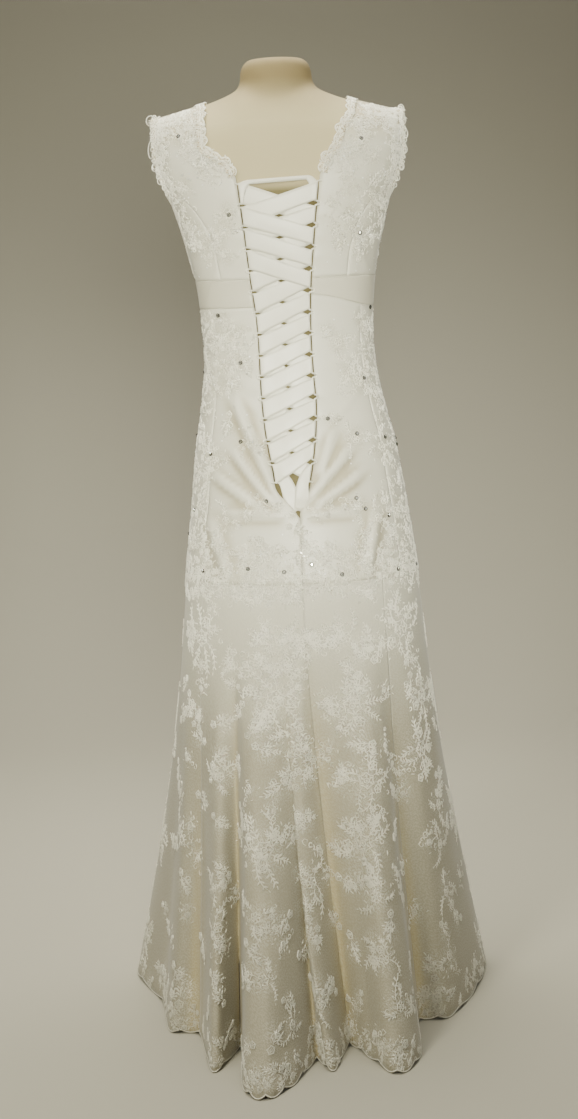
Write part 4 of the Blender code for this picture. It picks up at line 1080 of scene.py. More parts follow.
# %% [markdown]
# ## Lace
#
# The lace is net embroidered with padded leaves, petals and cord. At this distance the eye reads
# it as small bright forms with a shadow beside each, so the forms are real, closed little
# pillows. A few motifs are drawn flat, in metres, from leaves, petals, rings and tendrils. Many
# copies are then laid on the cloth: a flat point is moved along the cloth's own rows and columns,
# and lifted along its normal. A form that would cross an edge is left out, so the lace stops at
# the neckline, the armholes and the lacing as cut lace does.


# %% Small forms of the lace
def stitch(outline, height):
    """A closed form: a flat outline, anticlockwise, drawn up to one middle point over a flat base."""
    count = len(outline)
    foot = np.column_stack((outline, np.full(count, 0.0001)))
    points = np.vstack((foot, [[*outline.mean(0), height]]))
    k = np.arange(count)
    fan = np.arange(1, count - 1)
    sides = np.stack((k, (k + 1) % count, np.full(count, count)), -1)
    return points, np.vstack((sides, np.stack((0 * fan, fan + 1, fan), -1)))


def turned(points, angle):
    """The points turned about the origin."""
    c, s = np.cos(angle), np.sin(angle)
    return points @ np.array(((c, s), (-s, c)))


def leaf(place, turn, length, width, height=0.0012):
    """A pointed oval: its half width is a sine of the way along, and the tip bends a little."""
    s = np.linspace(0, 2 * np.pi, 7)[:-1]
    along = (1 - np.cos(s)) / 2
    across = -np.sin(s) * width / 2 + 0.12 * length * along**2
    return stitch(turned(np.stack((along * length, across), -1), turn) + place, height)


def cord(path, width, height=0.0013, closed=False):
    """A cord on a path: at each point a low triangle of two feet and a crest, tapered at open ends."""
    along = np.roll(path, -1, 0) - np.roll(path, 1, 0) if closed else np.gradient(path, axis=0)
    along = along / np.linalg.norm(along, axis=1, keepdims=True)
    side = np.stack((-along[:, 1], along[:, 0]), -1) * width / 2
    count = len(path)
    lift = np.ones(count)
    if not closed:
        lift[[0, -1]] = 0.25
        side = side * lift[:, None]
    flat = np.zeros(count)
    feet = np.column_stack((path + side, flat)), np.column_stack((path - side, flat))
    points = np.vstack((*feet, np.column_stack((path, height * lift))))
    k = np.arange(count if closed else count - 1)
    n = (k + 1) % count
    faces = []
    for low, high in ((0, 2), (2, 1), (1, 0)):
        a, b, c, d = low * count + k, low * count + n, high * count + n, high * count + k
        faces += [np.stack((a, c, b), -1), np.stack((a, d, c), -1)]
    if not closed:
        faces += [np.array([(0, count, 2 * count)]), np.array([(count - 1, 3 * count - 1, 2 * count - 1)])]
    return points, np.vstack(faces)


def curl(place, turn, length, bend, width=0.0013, steps=8):
    """A tendril whose direction turns faster and faster towards its tip."""
    s = np.linspace(0, 1, steps)
    heading = turn + bend * s**1.6
    step = length / (steps - 1)
    path = np.cumsum(np.stack((np.cos(heading), np.sin(heading)), -1) * step, axis=0) + place
    return cord(path, width)


def ring_cord(place, radius, lobes=0, width=0.0014, steps=9):
    """A closed cord about a place: round, or swinging in and out as many times as it has lobes."""
    a = np.linspace(0, 2 * np.pi, steps + 1)[:-1]
    reach = radius * (1 + 0.17 * np.cos(lobes * a)) if lobes else radius + 0 * a
    return cord(np.stack((np.cos(a), np.sin(a)), -1) * reach[:, None] + place, width, 0.0014, closed=True)


# %% Motifs
def flower(place, size, petals, turn=0.0):
    """A lobed cord round the petals, a ring round the heart, and a stitched leaf in each petal."""
    place = np.array(place, float)
    forms = [ring_cord(place, size * 0.44, petals, 0.0015, 3 * petals), ring_cord(place, size * 0.17, steps=6)]
    for k in range(petals):
        a = turn + 2 * np.pi * k / petals
        start = place + np.array((np.cos(a), np.sin(a))) * size * 0.20
        forms.append(leaf(start, a, size * 0.23, size * 0.15))
    s = np.linspace(0, 2 * np.pi, 7)[:-1]
    forms.append(stitch(np.stack((np.cos(s), np.sin(s)), -1) * size * 0.08 + place, 0.0015))
    return forms


def spray(draw, start, heading, length, pairs, bend=0.0):
    """Leaves in pairs along a stem that bends, larger in the middle, with one at the tip."""
    s = np.linspace(0, 1, pairs + 1)
    angle = heading + bend * s
    path = np.cumsum(np.stack((np.cos(angle), np.sin(angle)), -1), axis=0)
    path = np.array(start) + (path - path[0]) * length / pairs
    forms = [cord(path, 0.0013)]
    for k in range(1, pairs + 1):
        size = (0.0054 + 0.0028 * np.sin(np.pi * s[k])) * draw.uniform(0.75, 1.25)
        for lean in (draw.uniform(0.5, 1.0), -draw.uniform(0.5, 1.0)) if k < pairs else (0.0,):
            forms.append(leaf(path[k], angle[k] + lean, size, size * draw.uniform(0.24, 0.38)))
    return forms


def scattered(draw, leaves, curls, reach):
    """Leaves and small curls strewn over a disc."""
    forms = []
    for number in range(leaves + curls):
        away, way = reach * np.sqrt(draw.random()), draw.uniform(0, 2 * np.pi)
        place = away * np.array((np.cos(way), np.sin(way)))
        turn = draw.uniform(0, 2 * np.pi)
        if number < leaves:
            length = draw.uniform(0.0045, 0.0080)
            forms.append(leaf(place, turn, length, length * draw.uniform(0.24, 0.38)))
        else:
            forms.append(curl(place, turn, draw.uniform(0.014, 0.020), draw.choice((-4.6, 4.6)), steps=6))
    return forms


def motif(seed, kind):
    """A motif as joined points, faces and a form number for each point."""
    draw = np.random.default_rng(seed)
    if kind == "bouquet":
        forms = flower((0.0, 0.0), 0.024, 6) + flower((0.021, 0.012), 0.016, 5, 0.4)
        forms += flower((-0.015, 0.017), 0.014, 5, 0.9)
        for heading in np.array((0.2, 1.1, 2.1, 2.9, 3.7, 4.5, 5.4)) + draw.uniform(-0.2, 0.2, 7):
            start = 0.011 * np.array((np.cos(heading), np.sin(heading)))
            forms += spray(draw, start, heading, draw.uniform(0.026, 0.050), 6, draw.uniform(-1.8, 1.8))
        forms += scattered(draw, 16, 6, 0.042)
    elif kind == "branch":
        forms = flower((-0.004, 0.0), 0.018, 6, 0.3)
        for start, heading, length, bend in (
            ((0.006, 0.003), 0.5, 0.050, 1.3), ((-0.012, -0.004), 3.5, 0.040, -1.2),
            ((0.000, -0.010), 4.9, 0.028, 1.2), ((0.002, 0.009), 1.8, 0.026, -1.6),
        ):
            forms += spray(draw, start, heading, length, 6, bend)
        forms += scattered(draw, 10, 4, 0.030)
    elif kind == "sprig":
        forms = spray(draw, (-0.014, -0.006), 0.4, 0.032, 6, 0.6) + flower((-0.018, -0.008), 0.012, 5)
        forms += spray(draw, (-0.012, -0.002), 1.6, 0.016, 4, -0.8) + scattered(draw, 3, 1, 0.012)
    else:
        forms = scattered(draw, 14, 5, 0.019) + flower(draw.uniform(-0.006, 0.006, 2), 0.010, 4)
    owner = np.repeat(np.arange(len(forms)), [len(points) for points, _ in forms])
    starts = np.cumsum([0] + [len(points) for points, _ in forms[:-1]])
    faces = [form_faces + first for (_, form_faces), first in zip(forms, starts)]
    return np.vstack([points for points, _ in forms]), np.vstack(faces), owner


KINDS = ("bouquet", "branch", "sprig", "filling")
MOTIFS = {kind: [motif(10 * n + k, kind) for k in range(3)] for n, kind in enumerate(KINDS)}
print({kind: len(MOTIFS[kind][0][1]) for kind in KINDS}, "triangles in a motif")


# %% [markdown]
# To lay a motif, its centre's two numbers are known, and the cloth's slopes there say how far one
# metre along the row and one metre down it moves each number. On the skirt those slopes change
# quickly across a flute, so the way along a row is read from a table of lengths instead. Seen
# from outside, the first number grows to the left, so a motif that isn't turned over has its
# faces reversed.


# %% Places on the cloth
class Cloth:
    """A surface with running lengths: s metres along each row from a start, and back to the first number."""

    def __init__(self, surface, normal, first, last, rows, columns=700):
        self.surface, self.normal, self.rows = surface, normal, rows
        self.a = np.linspace(first, last, columns)
        points = surface(self.a[None], rows[:, None])
        self.length = path_length(points, 1)
        self.zero = int(columns * (0 - first) / (last - first)) if first < 0 < last else 0
        self.length = self.length - self.length[:, self.zero][:, None]
        self.steep = np.linalg.norm(np.gradient(points, rows, axis=0), axis=-1)

    def row_share(self, b):
        i = np.clip(np.searchsorted(self.rows, b) - 1, 0, len(self.rows) - 2)
        return i, np.clip((b - self.rows[i]) / (self.rows[i + 1] - self.rows[i]), 0, 1)

    def length_at(self, a, b):
        i, f = self.row_share(b)
        column = (a - self.a[0]) / (self.a[-1] - self.a[0]) * (len(self.a) - 1)
        j = np.clip(column.astype(int), 0, len(self.a) - 2)
        g = column - j
        low = self.length[i, j] * (1 - g) + self.length[i, j + 1] * g
        high = self.length[i + 1, j] * (1 - g) + self.length[i + 1, j + 1] * g
        return low * (1 - f) + high * f, self.steep[i, j]

    def across_to(self, s, b):
        """The first number at s metres along row b: the table of lengths read backwards."""
        i, f = self.row_share(b)
        found = np.empty(s.shape)
        for row in np.unique(i):
            here = i == row
            low = np.interp(s[here], self.length[row], self.a)
            high = np.interp(s[here], self.length[row + 1], self.a)
            found[here] = low * (1 - f[here]) + high * f[here]
        return found

    def lay(self, kind_and_pick, centres, turns, sizes, keep, lift):
        """Copies of one motif at these centres. A form is dropped unless keep holds at all its points."""
        kind, pick, flip = kind_and_pick
        points, faces, owner = MOTIFS[kind][pick]
        flat = points[:, :2] * ((-1, 1) if flip else (1, 1))
        faces = faces if flip else faces[:, ::-1]
        c, s = np.cos(turns)[:, None], np.sin(turns)[:, None]
        x = (flat[:, 0] * c - flat[:, 1] * s) * sizes[:, None]
        y = (flat[:, 0] * s + flat[:, 1] * c) * sizes[:, None]
        a0, b0 = centres[:, :1] + 0 * x, centres[:, 1:] + 0 * x
        b = b0 + y / np.maximum(self.length_at(a0, b0)[1], 0.5)
        a = self.across_to(self.length_at(a0, b)[0] + x, b)
        forms = owner.max() + 1
        bad = np.zeros((len(centres), forms))
        outside = ~keep(a, b)
        copy = np.arange(len(centres))[:, None]
        np.add.at(bad, (copy + 0 * owner, owner + 0 * copy), outside)
        height = lift + points[:, 2] * np.minimum(sizes, 1.15)[:, None] + owner % 7 * 6e-5
        at_cloth = self.surface(a, b) + self.normal(a, b) * height[..., None]
        at_cloth[..., 2] = np.maximum(at_cloth[..., 2], 0.0002)
        whole = bad[:, owner[faces[:, 0]]] == 0
        index = faces[None] + (copy * len(points))[..., None]
        return at_cloth.reshape(-1, 3), index[whole]


REACH = {"bouquet": 0.036, "branch": 0.026, "sprig": 0.017, "filling": 0.015}
worked_spots = []


def body_normals(angle, level):
    return normals_of(body_point, angle, np.minimum(level, SHOULDER_LEVEL - 0.0006), 2e-3, 3e-4)


def lace_piece(name, cloth, placements, keep, lift):
    """One mesh of every motif in the placements, grouped by motif so that each group is one array."""
    points, faces, count = [], [], 0
    groups = {}
    for kind, pick, flip, a, b, turn, size in placements:
        groups.setdefault((kind, pick, flip), []).append((a, b, turn, size))
    for key, rows in groups.items():
        rows = np.array(rows, float)
        p, f = cloth.lay(key, rows[:, :2], rows[:, 2], rows[:, 3], keep, lift)
        points.append(p)
        faces.append(f + count)
        count += len(p)
    points, faces = np.vstack(points), np.vstack(faces)
    used, faces = np.unique(faces, return_inverse=True)
    made = put_mesh(name, points[used], faces.reshape(-1, 3), lace)
    spots = np.array([(a, b, REACH[kind] * size) for kind, _, _, a, b, _, size in placements])
    worked_spots.append(np.column_stack((cloth.surface(spots[:, 0], spots[:, 1]), spots[:, 2])))
    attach(made, "root")
    print(f"{name}: {len(placements)} motifs, {len(faces.reshape(-1, 3))} triangles")
    return made


# %% [markdown]
# On the back of the skirt the motifs are listed, one row of the table for each that the
# photograph shows. On the sides and front, which it hides, they stand in staggered rows of the
# same spacing.

# %% Lace on the skirt
SKIRT_MOTIFS = (
    ("bouquet", 7.95, 0.601, 1.15), ("branch", 6.10, 0.561, 0.75), ("branch", 2.40, 0.601, 1.00),
    ("branch", 26.60, 0.601, 1.00), ("bouquet", 23.35, 0.606, 1.25), ("sprig", 9.55, 0.477, 1.10),
    ("bouquet", 2.85, 0.516, 1.25), ("bouquet", 26.45, 0.501, 1.20), ("bouquet", 22.70, 0.491, 1.10),
    ("sprig", 4.15, 0.472, 0.95), ("bouquet", 22.95, 0.412, 1.10), ("branch", 6.80, 0.397, 0.90),
    ("sprig", 9.65, 0.357, 1.00), ("sprig", 2.45, 0.402, 1.00), ("branch", 0.20, 0.422, 0.80),
    ("bouquet", 26.05, 0.392, 1.05), ("branch", 22.50, 0.318, 1.00), ("branch", 9.35, 0.288, 0.95),
    ("bouquet", 3.90, 0.308, 1.20), ("sprig", 0.50, 0.338, 0.95), ("bouquet", 26.45, 0.303, 1.20),
    ("branch", 22.60, 0.258, 0.90), ("branch", 7.15, 0.243, 0.80), ("branch", 0.60, 0.248, 1.05),
    ("branch", 26.05, 0.233, 1.05), ("branch", 4.30, 0.218, 0.95), ("branch", 22.60, 0.184, 0.95),
    ("branch", 7.00, 0.190, 0.85), ("sprig", 0.80, 0.169, 0.95), ("branch", 26.15, 0.149, 0.95),
    ("branch", 4.15, 0.144, 0.95), ("sprig", 7.00, 0.115, 1.00), ("branch", 1.00, 0.089, 0.90),
    ("branch", 25.65, 0.084, 0.95), ("sprig", 8.85, 0.079, 1.10), ("branch", 22.80, 0.084, 0.95),
    ("sprig", 9.95, 0.129, 1.00), ("sprig", 10.25, 0.040, 0.90), ("branch", 2.90, 0.075, 0.90),
    ("sprig", 27.40, 0.060, 1.00), ("sprig", 22.40, 0.124, 1.00), ("sprig", 24.30, 0.350, 0.90),
    ("sprig", 24.60, 0.210, 1.00), ("sprig", 5.40, 0.330, 0.85), ("sprig", 8.30, 0.480, 0.90),
    ("sprig", 1.20, 0.600, 1.05), ("branch", 0.20, 0.598, 0.80), ("sprig", 27.50, 0.604, 1.05),
    ("sprig", 25.50, 0.600, 1.00), ("branch", 3.60, 0.604, 0.70),
)
BACK_ENDS = (10.6, 22.0)
draw = np.random.default_rng(7)


def pick_of(kind):
    """A random copy of a kind, turned over half of the time."""
    return kind, int(draw.integers(3)), bool(draw.integers(2))


def rows_between(first, last, low, high, gap_a, gap_b, kinds, sizes, jitter=0.25):
    """Staggered rows: each second row starts half a gap along, and each place is moved a little."""
    placed = []
    for n, b in enumerate(np.arange(low, high, gap_b)):
        for a in np.arange(first + (n % 2) * gap_a / 2, last, gap_a):
            place = (a + draw.uniform(-jitter, jitter) * gap_a, b + draw.uniform(-jitter, jitter) * gap_b)
            turn = draw.uniform(0, 2 * np.pi)
            chosen = pick_of(kinds[int(draw.integers(len(kinds)))])
            placed.append((*chosen, *place, turn, draw.uniform(*sizes)))
    return placed


skirt_cloth = Cloth(
    skirt_point, skirt_normal, -1.0, FOLD_COUNT + 1.0, np.linspace(0.0, SKIRT_TOP - 0.001, 90), 2400
)
placed = [(*pick_of(kind), t, height, draw.uniform(0, 6.28), size) for kind, t, height, size in SKIRT_MOTIFS]
for kind, t, height, size in SKIRT_MOTIFS:
    for number in range(2 if kind == "bouquet" else 1):
        way = draw.uniform(0, 2 * np.pi)
        away = size * REACH[kind] * draw.uniform(1.0, 1.5)
        place = (t + away * np.cos(way) / 0.055, height + away * np.sin(way))
        chosen = pick_of(("sprig", "filling")[number % 2])
        placed.append((*chosen, *place, draw.uniform(0, 6.28), draw.uniform(0.8, 1.1)))
dense = ("filling", "filling", "sprig")
for first, last in ((-0.2, 10.8), (21.8, 28.0)):
    placed += rows_between(first, last, 0.677, 0.69, 0.62, 0.026, ("filling", "sprig"), (0.8, 1.1))
    placed += rows_between(first, last, 0.060, 0.60, 1.05, 0.088, ("sprig", "filling"), (0.9, 1.25), 0.42)
    placed += rows_between(first, last, 0.013, 0.034, 0.46, 0.017, dense, (0.6, 0.95))


def on_skirt(t, height):
    return (height > 0.002) & (height < SKIRT_TOP - 0.002)


lace_piece("lace_skirt_back", skirt_cloth, placed, on_skirt, CLOTH + 0.0001)
placed = rows_between(*BACK_ENDS, 0.075, 0.62, 1.60, 0.098, ("bouquet", "branch", "branch"), (0.9, 1.2))
placed += rows_between(*BACK_ENDS, 0.677, 0.69, 0.70, 0.026, ("filling", "sprig"), (0.8, 1.1))
placed += rows_between(*BACK_ENDS, 0.013, 0.034, 0.55, 0.017, dense, (0.6, 0.95))
lace_piece("lace_skirt_front", skirt_cloth, placed, on_skirt, CLOTH + 0.0001)


# %% [markdown]
# On the bodice and the hips the lace is dense at the edges and sides and open over the middle of
# each panel. So small motifs follow the neckline, the armholes and the seams, and cover the sides
# of the waist and hips in rows. A thin belt of them goes round above the hip seam.


# %% Where lace may lie on the body
V_POINT = 0.786
LACE_LOWEST = 0.683


def on_body(angle, level):
    """Inside the panels' edges and off the plain band and the laced opening."""
    turned_angle = (angle + np.pi) % (2 * np.pi) - np.pi
    side = np.where(turned_angle > 0, 1, -1)
    wide = np.abs(turned_angle)
    behind = wide < np.pi / 2
    edge_back = np.where(side > 0, back_edge(level, 1), -back_edge(level, -1))
    edge_front = np.abs(np.where(side > 0, front_edge(level, 1), front_edge(level, -1)))
    arm_back = np.abs(armhole_back(level, 1))
    arm_front = np.abs(armhole_front(level, 1))
    low = level < ARMHOLE
    inside_back = ((wide > edge_back + 0.006) | (level < V_POINT)) & (low | (wide < arm_back))
    inside_front = (wide < edge_front) & (low | (wide > arm_front))
    band = (level > band_bottom(angle) - 0.001) & (level < BAND_TOP + 0.001)
    between = (level < SHOULDER_LEVEL - 0.0015) & (level > LACE_LOWEST)
    return np.where(behind, inside_back, inside_front) & ~band & between


def along_edge(edge, side, low, high, step, near, far):
    """Motifs beside an edge: its own angle and level, moved inwards by a random share of a width."""
    placed = []
    for level in np.arange(low, high, step):
        angle = float(edge(np.array(level), side))
        offset = near + (far - near) * draw.random()
        kind = dense[int(draw.integers(len(dense)))]
        placed.append((*pick_of(kind), angle + offset, level, draw.uniform(0, 6.28), draw.uniform(0.8, 1.05)))
    return placed


body_cloth = Cloth(
    body_point, body_normals, -1.15 * np.pi, 1.15 * np.pi,
    np.append(np.linspace(0.680, ARMHOLE, 112), np.linspace(ARMHOLE + 0.002, SHOULDER_LEVEL - 0.0006, 60)),
    900,
)


# %% Lace on the bodice
# A row for each edge: its lowest and highest level, the step up it, and the least and greatest
# angle away from it.
EDGE_ROWS = (
    (back_edge, 1.322, 1.436, 0.0075, 0.07, 0.26),
    (armhole_back, 1.302, 1.436, 0.0070, -0.05, -0.22),
    (front_edge, 1.275, 1.436, 0.0070, -0.06, -0.24),
    (armhole_front, 1.300, 1.436, 0.0075, 0.04, 0.20),
    (princess_back, 1.205, 1.300, 0.0105, 0.10, 0.45),
    (underarm_back, 1.180, 1.292, 0.0090, -0.20, 0.20),
    (princess_front, 1.185, 1.300, 0.0100, -0.30, 0.05),
)
placed = []
for side in (1, -1):
    for edge, low, high, step, near, far in EDGE_ROWS:
        placed += along_edge(edge, side, low, high, step, side * near, side * far)
for level in (1.405, 1.420, 1.431):
    for degrees in np.arange(38, 68, 5.5):
        for side in (1, -1):
            angle = side * np.radians(degrees)
            placed.append((*pick_of("filling"), angle, level, draw.uniform(0, 6.28), 0.9))
            placed.append((*pick_of("filling"), np.pi - angle, level, draw.uniform(0, 6.28), 0.9))
BODICE_SPRAYS = (
    ("branch", 30, 1.246, 0.75), ("sprig", 24, 1.272, 0.9), ("sprig", 37, 1.222, 0.9),
    ("sprig", -34, 1.262, 0.9), ("branch", -40, 1.238, 0.75), ("sprig", -32, 1.216, 0.9),
    ("sprig", -48, 1.205, 0.8), ("sprig", 46, 1.315, 0.8), ("branch", 44, 1.222, 0.8),
    ("sprig", 33, 1.200, 0.8), ("branch", -52, 1.290, 0.8), ("sprig", -44, 1.312, 0.9),
    ("branch", -30, 1.300, 0.65), ("sprig", -40, 1.345, 0.9), ("filling", -26, 1.240, 0.8),
    ("filling", -22, 1.275, 0.7), ("branch", 150, 1.225, 0.8), ("branch", -150, 1.225, 0.8),
    ("sprig", 168, 1.200, 0.9), ("sprig", -168, 1.200, 0.9),
)
placed += [(*pick_of(k), np.radians(d), z, draw.uniform(0, 6.28), s) for k, d, z, s in BODICE_SPRAYS]
lace_piece("lace_bodice", body_cloth, placed, on_body, CLOTH + 0.0003)

# %% Lace on the waist and hips
HIP_AREAS = (
    (40, 88, 1.000, 1.112, 14.0, 0.022, 0.9), (-88, -52, 0.985, 1.108, 13.0, 0.022, 0.9),
    (60, 100, 0.860, 1.000, 15.0, 0.026, 0.9), (-100, -62, 0.850, 0.985, 14.0, 0.026, 0.9),
    (58, 108, 0.765, 0.862, 14.0, 0.024, 0.95), (-108, -50, 0.760, 0.852, 14.0, 0.024, 0.95),
    (56, 108, 0.704, 0.765, 12.0, 0.019, 1.0), (-108, -50, 0.698, 0.760, 12.0, 0.019, 1.0),
    (100, 150, 0.985, 1.112, 14.0, 0.026, 0.9), (-150, -100, 0.985, 1.112, 14.0, 0.026, 0.9),
    (106, 254, 0.698, 0.760, 15.0, 0.024, 1.0), (106, 140, 0.760, 0.985, 15.0, 0.030, 0.9),
    (-140, -106, 0.760, 0.985, 15.0, 0.030, 0.9), (150, 210, 0.850, 0.950, 18.0, 0.045, 0.9),
)
HIP_BELT = ((-108, 252, 0.6925, 0.693, 6.0, 0.014, 0.9), (-50, 56, 0.704, 0.742, 8.5, 0.016, 0.9))


def filled(areas):
    """Rows of small motifs over areas given in degrees and levels."""
    placed = []
    for first, last, low, high, gap, gap_up, size in areas:
        first, last, gap = np.radians((first, last, gap))
        placed += rows_between(first, last, low, high, gap, gap_up, dense, (0.85 * size, 1.1 * size), 0.3)
    return placed


placed = filled(HIP_AREAS)
HIP_SPRAYS = (
    ("sprig", 10, 0.806, 0.8), ("sprig", 19, 0.812, 0.9), ("sprig", 28, 0.800, 0.9),
    ("filling", 3, 0.797, 0.7), ("filling", -7, 0.800, 0.8), ("sprig", -15, 0.808, 0.8),
    ("filling", -23, 0.806, 0.9), ("sprig", -32, 0.806, 1.0), ("branch", 40, 0.786, 0.8),
    ("branch", -42, 0.780, 0.85), ("branch", 36, 1.050, 0.8), ("sprig", 30, 1.030, 1.0),
    ("branch", 24, 0.905, 0.75), ("sprig", 40, 0.935, 1.0), ("branch", -35, 0.912, 0.8),
    ("sprig", -22, 0.940, 0.8), ("branch", -48, 1.000, 0.9), ("sprig", -30, 0.760, 0.9),
    ("sprig", 22, 0.752, 0.9), ("sprig", -12, 0.742, 0.8), ("sprig", 12, 0.740, 0.8),
    ("branch", -34, 1.060, 0.75), ("branch", -40, 1.015, 0.8), ("sprig", -26, 1.080, 0.8),
    ("branch", 44, 1.075, 0.8), ("sprig", 32, 1.085, 0.8), ("sprig", 36, 1.000, 0.9),
    ("branch", 52, 0.885, 0.9), ("branch", -55, 0.890, 0.9), ("sprig", 1, 0.770, 0.9),
    ("sprig", -3, 0.752, 0.8), ("filling", 1, 0.738, 0.7), ("bouquet", 180, 0.780, 0.9),
    ("branch", 165, 1.040, 0.9), ("branch", -163, 1.040, 0.9),
)
placed += [(*pick_of(k), np.radians(d), z, draw.uniform(0, 6.28), s) for k, d, z, s in HIP_SPRAYS]
lace_piece("lace_hips", body_cloth, placed, on_body, CLOTH + 0.0003)
lace_piece("lace_hip_belt", body_cloth, filled(HIP_BELT), on_body, CLOTH + 0.0003)


# %% Threads of the worked net
def work(made, spots):
    """How far the net at each point is covered by thread: a soft disc about each motif's middle."""
    points = np.empty(len(made.data.vertices) * 3, np.float32)
    made.data.vertices.foreach_get("co", points)
    points = points.reshape(-1, 3)
    share = np.zeros(len(points), np.float32)
    for x, y, z, reach in spots:
        away = np.linalg.norm(points - np.array((x, y, z), np.float32), axis=1) / reach
        share = np.maximum(share, np.clip(1.25 - away * 1.05, 0, 1) * 0.8)
    made.data.attributes["worked"].data.foreach_set("value", share)


spots = np.vstack(worked_spots)
for made in list(bpy.data.objects):
    if made.name.startswith("cloth_") and not made.name.startswith(("cloth_under", "cloth_band")):
        work(made, spots)
print(len(spots), "worked places")


# %% [markdown]
# ## Scalloped edges
#
# The neckline and armholes end in a cord that swings out and in. A strip of net carries it. The
# strip's inner border lies on the panel and its outer border is a row of arches, and the cord
# runs round that border. A second cord and small leaves lie on the strip, and open loops of cord
# stand out from the back half of each armhole.

# %% Edging strips
EDGING_PITCH = 0.017
EDGING_CLOTH = 0.0009
EDGING_INSIDE = 0.010
EDGING_SCALLOP = 0.0040


def edge_run(angles, levels, out):
    """Evenly spaced points along an edge with the surface's normals there."""
    base, normal = body_point(angles, levels, out), body_normals(angles, levels)
    run = np.concatenate(([0], np.cumsum(np.linalg.norm(np.diff(base, axis=0), axis=1))))
    count = int(round(run[-1] / EDGING_PITCH))
    stations = np.linspace(0, run[-1], count * 10 + 1)
    place = np.stack([np.interp(stations, run, base[:, k]) for k in range(3)], -1)
    facing = np.stack([np.interp(stations, run, normal[:, k]) for k in range(3)], -1)
    return place, facing / np.linalg.norm(facing, axis=1, keepdims=True), stations * count / run[-1]


def tube(name, path, radius, look, closed=False, sides=6):
    """A round cord: a circle of points about each point of the path, in the plane across it."""
    along = np.roll(path, -1, 0) - np.roll(path, 1, 0) if closed else np.gradient(path, axis=0)
    along = along / np.linalg.norm(along, axis=1, keepdims=True)
    first = np.cross(along, (0.31, 0.93, 0.2))
    first = first / np.linalg.norm(first, axis=1, keepdims=True)
    second = np.cross(along, first)
    a = np.linspace(0, 2 * np.pi, sides + 1)[:-1]
    ring = first[:, None] * np.cos(a)[:, None] + second[:, None] * np.sin(a)[:, None]
    points = (path[:, None] + ring * radius).reshape(-1, 3)
    points = points if closed else np.vstack((points, path[0], path[-1]))
    return put_mesh(name, points, ring_faces(len(path), sides, closed), look)


def edging(node_name, angles, levels, side, closed):
    """A strip with an arched outer border, and the cord on that border."""
    place, facing, scallop = edge_run(angles, levels, CLOTH + 0.0009)
    if closed:
        place, facing, scallop = place[:-1], facing[:-1], scallop[:-1]
        along = np.roll(place, -1, 0) - np.roll(place, 1, 0)
    else:
        along = np.gradient(place, axis=0)
    outwards = np.cross(along, facing) * side
    outwards = outwards / np.linalg.norm(outwards, axis=1, keepdims=True)
    uneven = 0.0008 * np.sin(1.7 * scallop) + 0.0006 * np.sin(4.3 * scallop + 1)
    wave = 0.0008 + EDGING_SCALLOP * np.abs(np.sin(np.pi * scallop)) ** 0.9 + 1.6 * uneven
    shares = np.linspace(0, 1, 6)
    reach = -EDGING_INSIDE + (wave + EDGING_INSIDE)[:, None] * shares
    strip = place[:, None] + outwards[:, None] * reach[..., None]
    strip = strip + facing[:, None] * (0.0003 * np.cos(9 * scallop)[:, None] * shares)[..., None]
    if not closed:
        strip[..., 0] = side * np.maximum(side * strip[..., 0], 0.0002)
    strip = strip[:, ::-1] if side > 0 else strip
    face = strip + facing[:, None] * EDGING_CLOTH
    made, size, area = sheet_of("lace_" + node_name, strip, face, sheer_net, ring=closed)
    declare(made, [node_name])
    rim = strip[:, 0] if side > 0 else strip[:, -1]
    cord_made = tube("cord_" + node_name, rim + facing * 0.0006, 0.0009, lace, closed)
    second = place + outwards * (wave * 0.45 - 0.0048)[:, None] + facing * 0.0011
    second_made = tube("inner_cord_" + node_name, second, 0.0007, lace, closed)
    along = along / np.linalg.norm(along, axis=1, keepdims=True)
    leaves_made = edge_leaves("leaves_" + node_name, place, along, outwards, facing, wave, side)
    for piece in (cord_made, second_made, leaves_made):
        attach(piece, "root")
    print(f"{node_name}: {scallop[-1]:.0f} scallops")
    return place, along, outwards, facing


def edge_leaves(name, place, along, outwards, facing, wave, side):
    """Small leaves strewn over the strip, each turned and sized at random, in one array."""
    count = len(place) * 2
    at = draw.integers(2, len(place) - 2, count)
    inward = -0.0095 + (wave[at] + 0.0088) * draw.random(count)
    base, faces = leaf(np.zeros(2), 0.0, 1.0, 0.38, 1.0)
    turn, size = draw.uniform(0, 2 * np.pi, count), draw.uniform(0.0042, 0.0068, count)
    x = size[:, None] * (base[:, 0] * np.cos(turn)[:, None] - base[:, 1] * np.sin(turn)[:, None])
    y = size[:, None] * (base[:, 0] * np.sin(turn)[:, None] + base[:, 1] * np.cos(turn)[:, None])
    lift = 0.0009 + base[:, 2] * 0.0012
    points = (
        place[at][:, None] + along[at][:, None] * x[..., None]
        + outwards[at][:, None] * (inward[:, None] + y)[..., None] + facing[at][:, None] * lift[:, None]
    )
    points[..., 0] = np.where(np.abs(place[at][:, None, 0]) < 0.01, place[at][:, None, 0], points[..., 0])
    faces = faces if side < 0 else faces[:, ::-1]
    index = faces[None] + (np.arange(count) * len(base))[:, None, None]
    return put_mesh(name, points.reshape(-1, 3), index.reshape(-1, 3), lace)


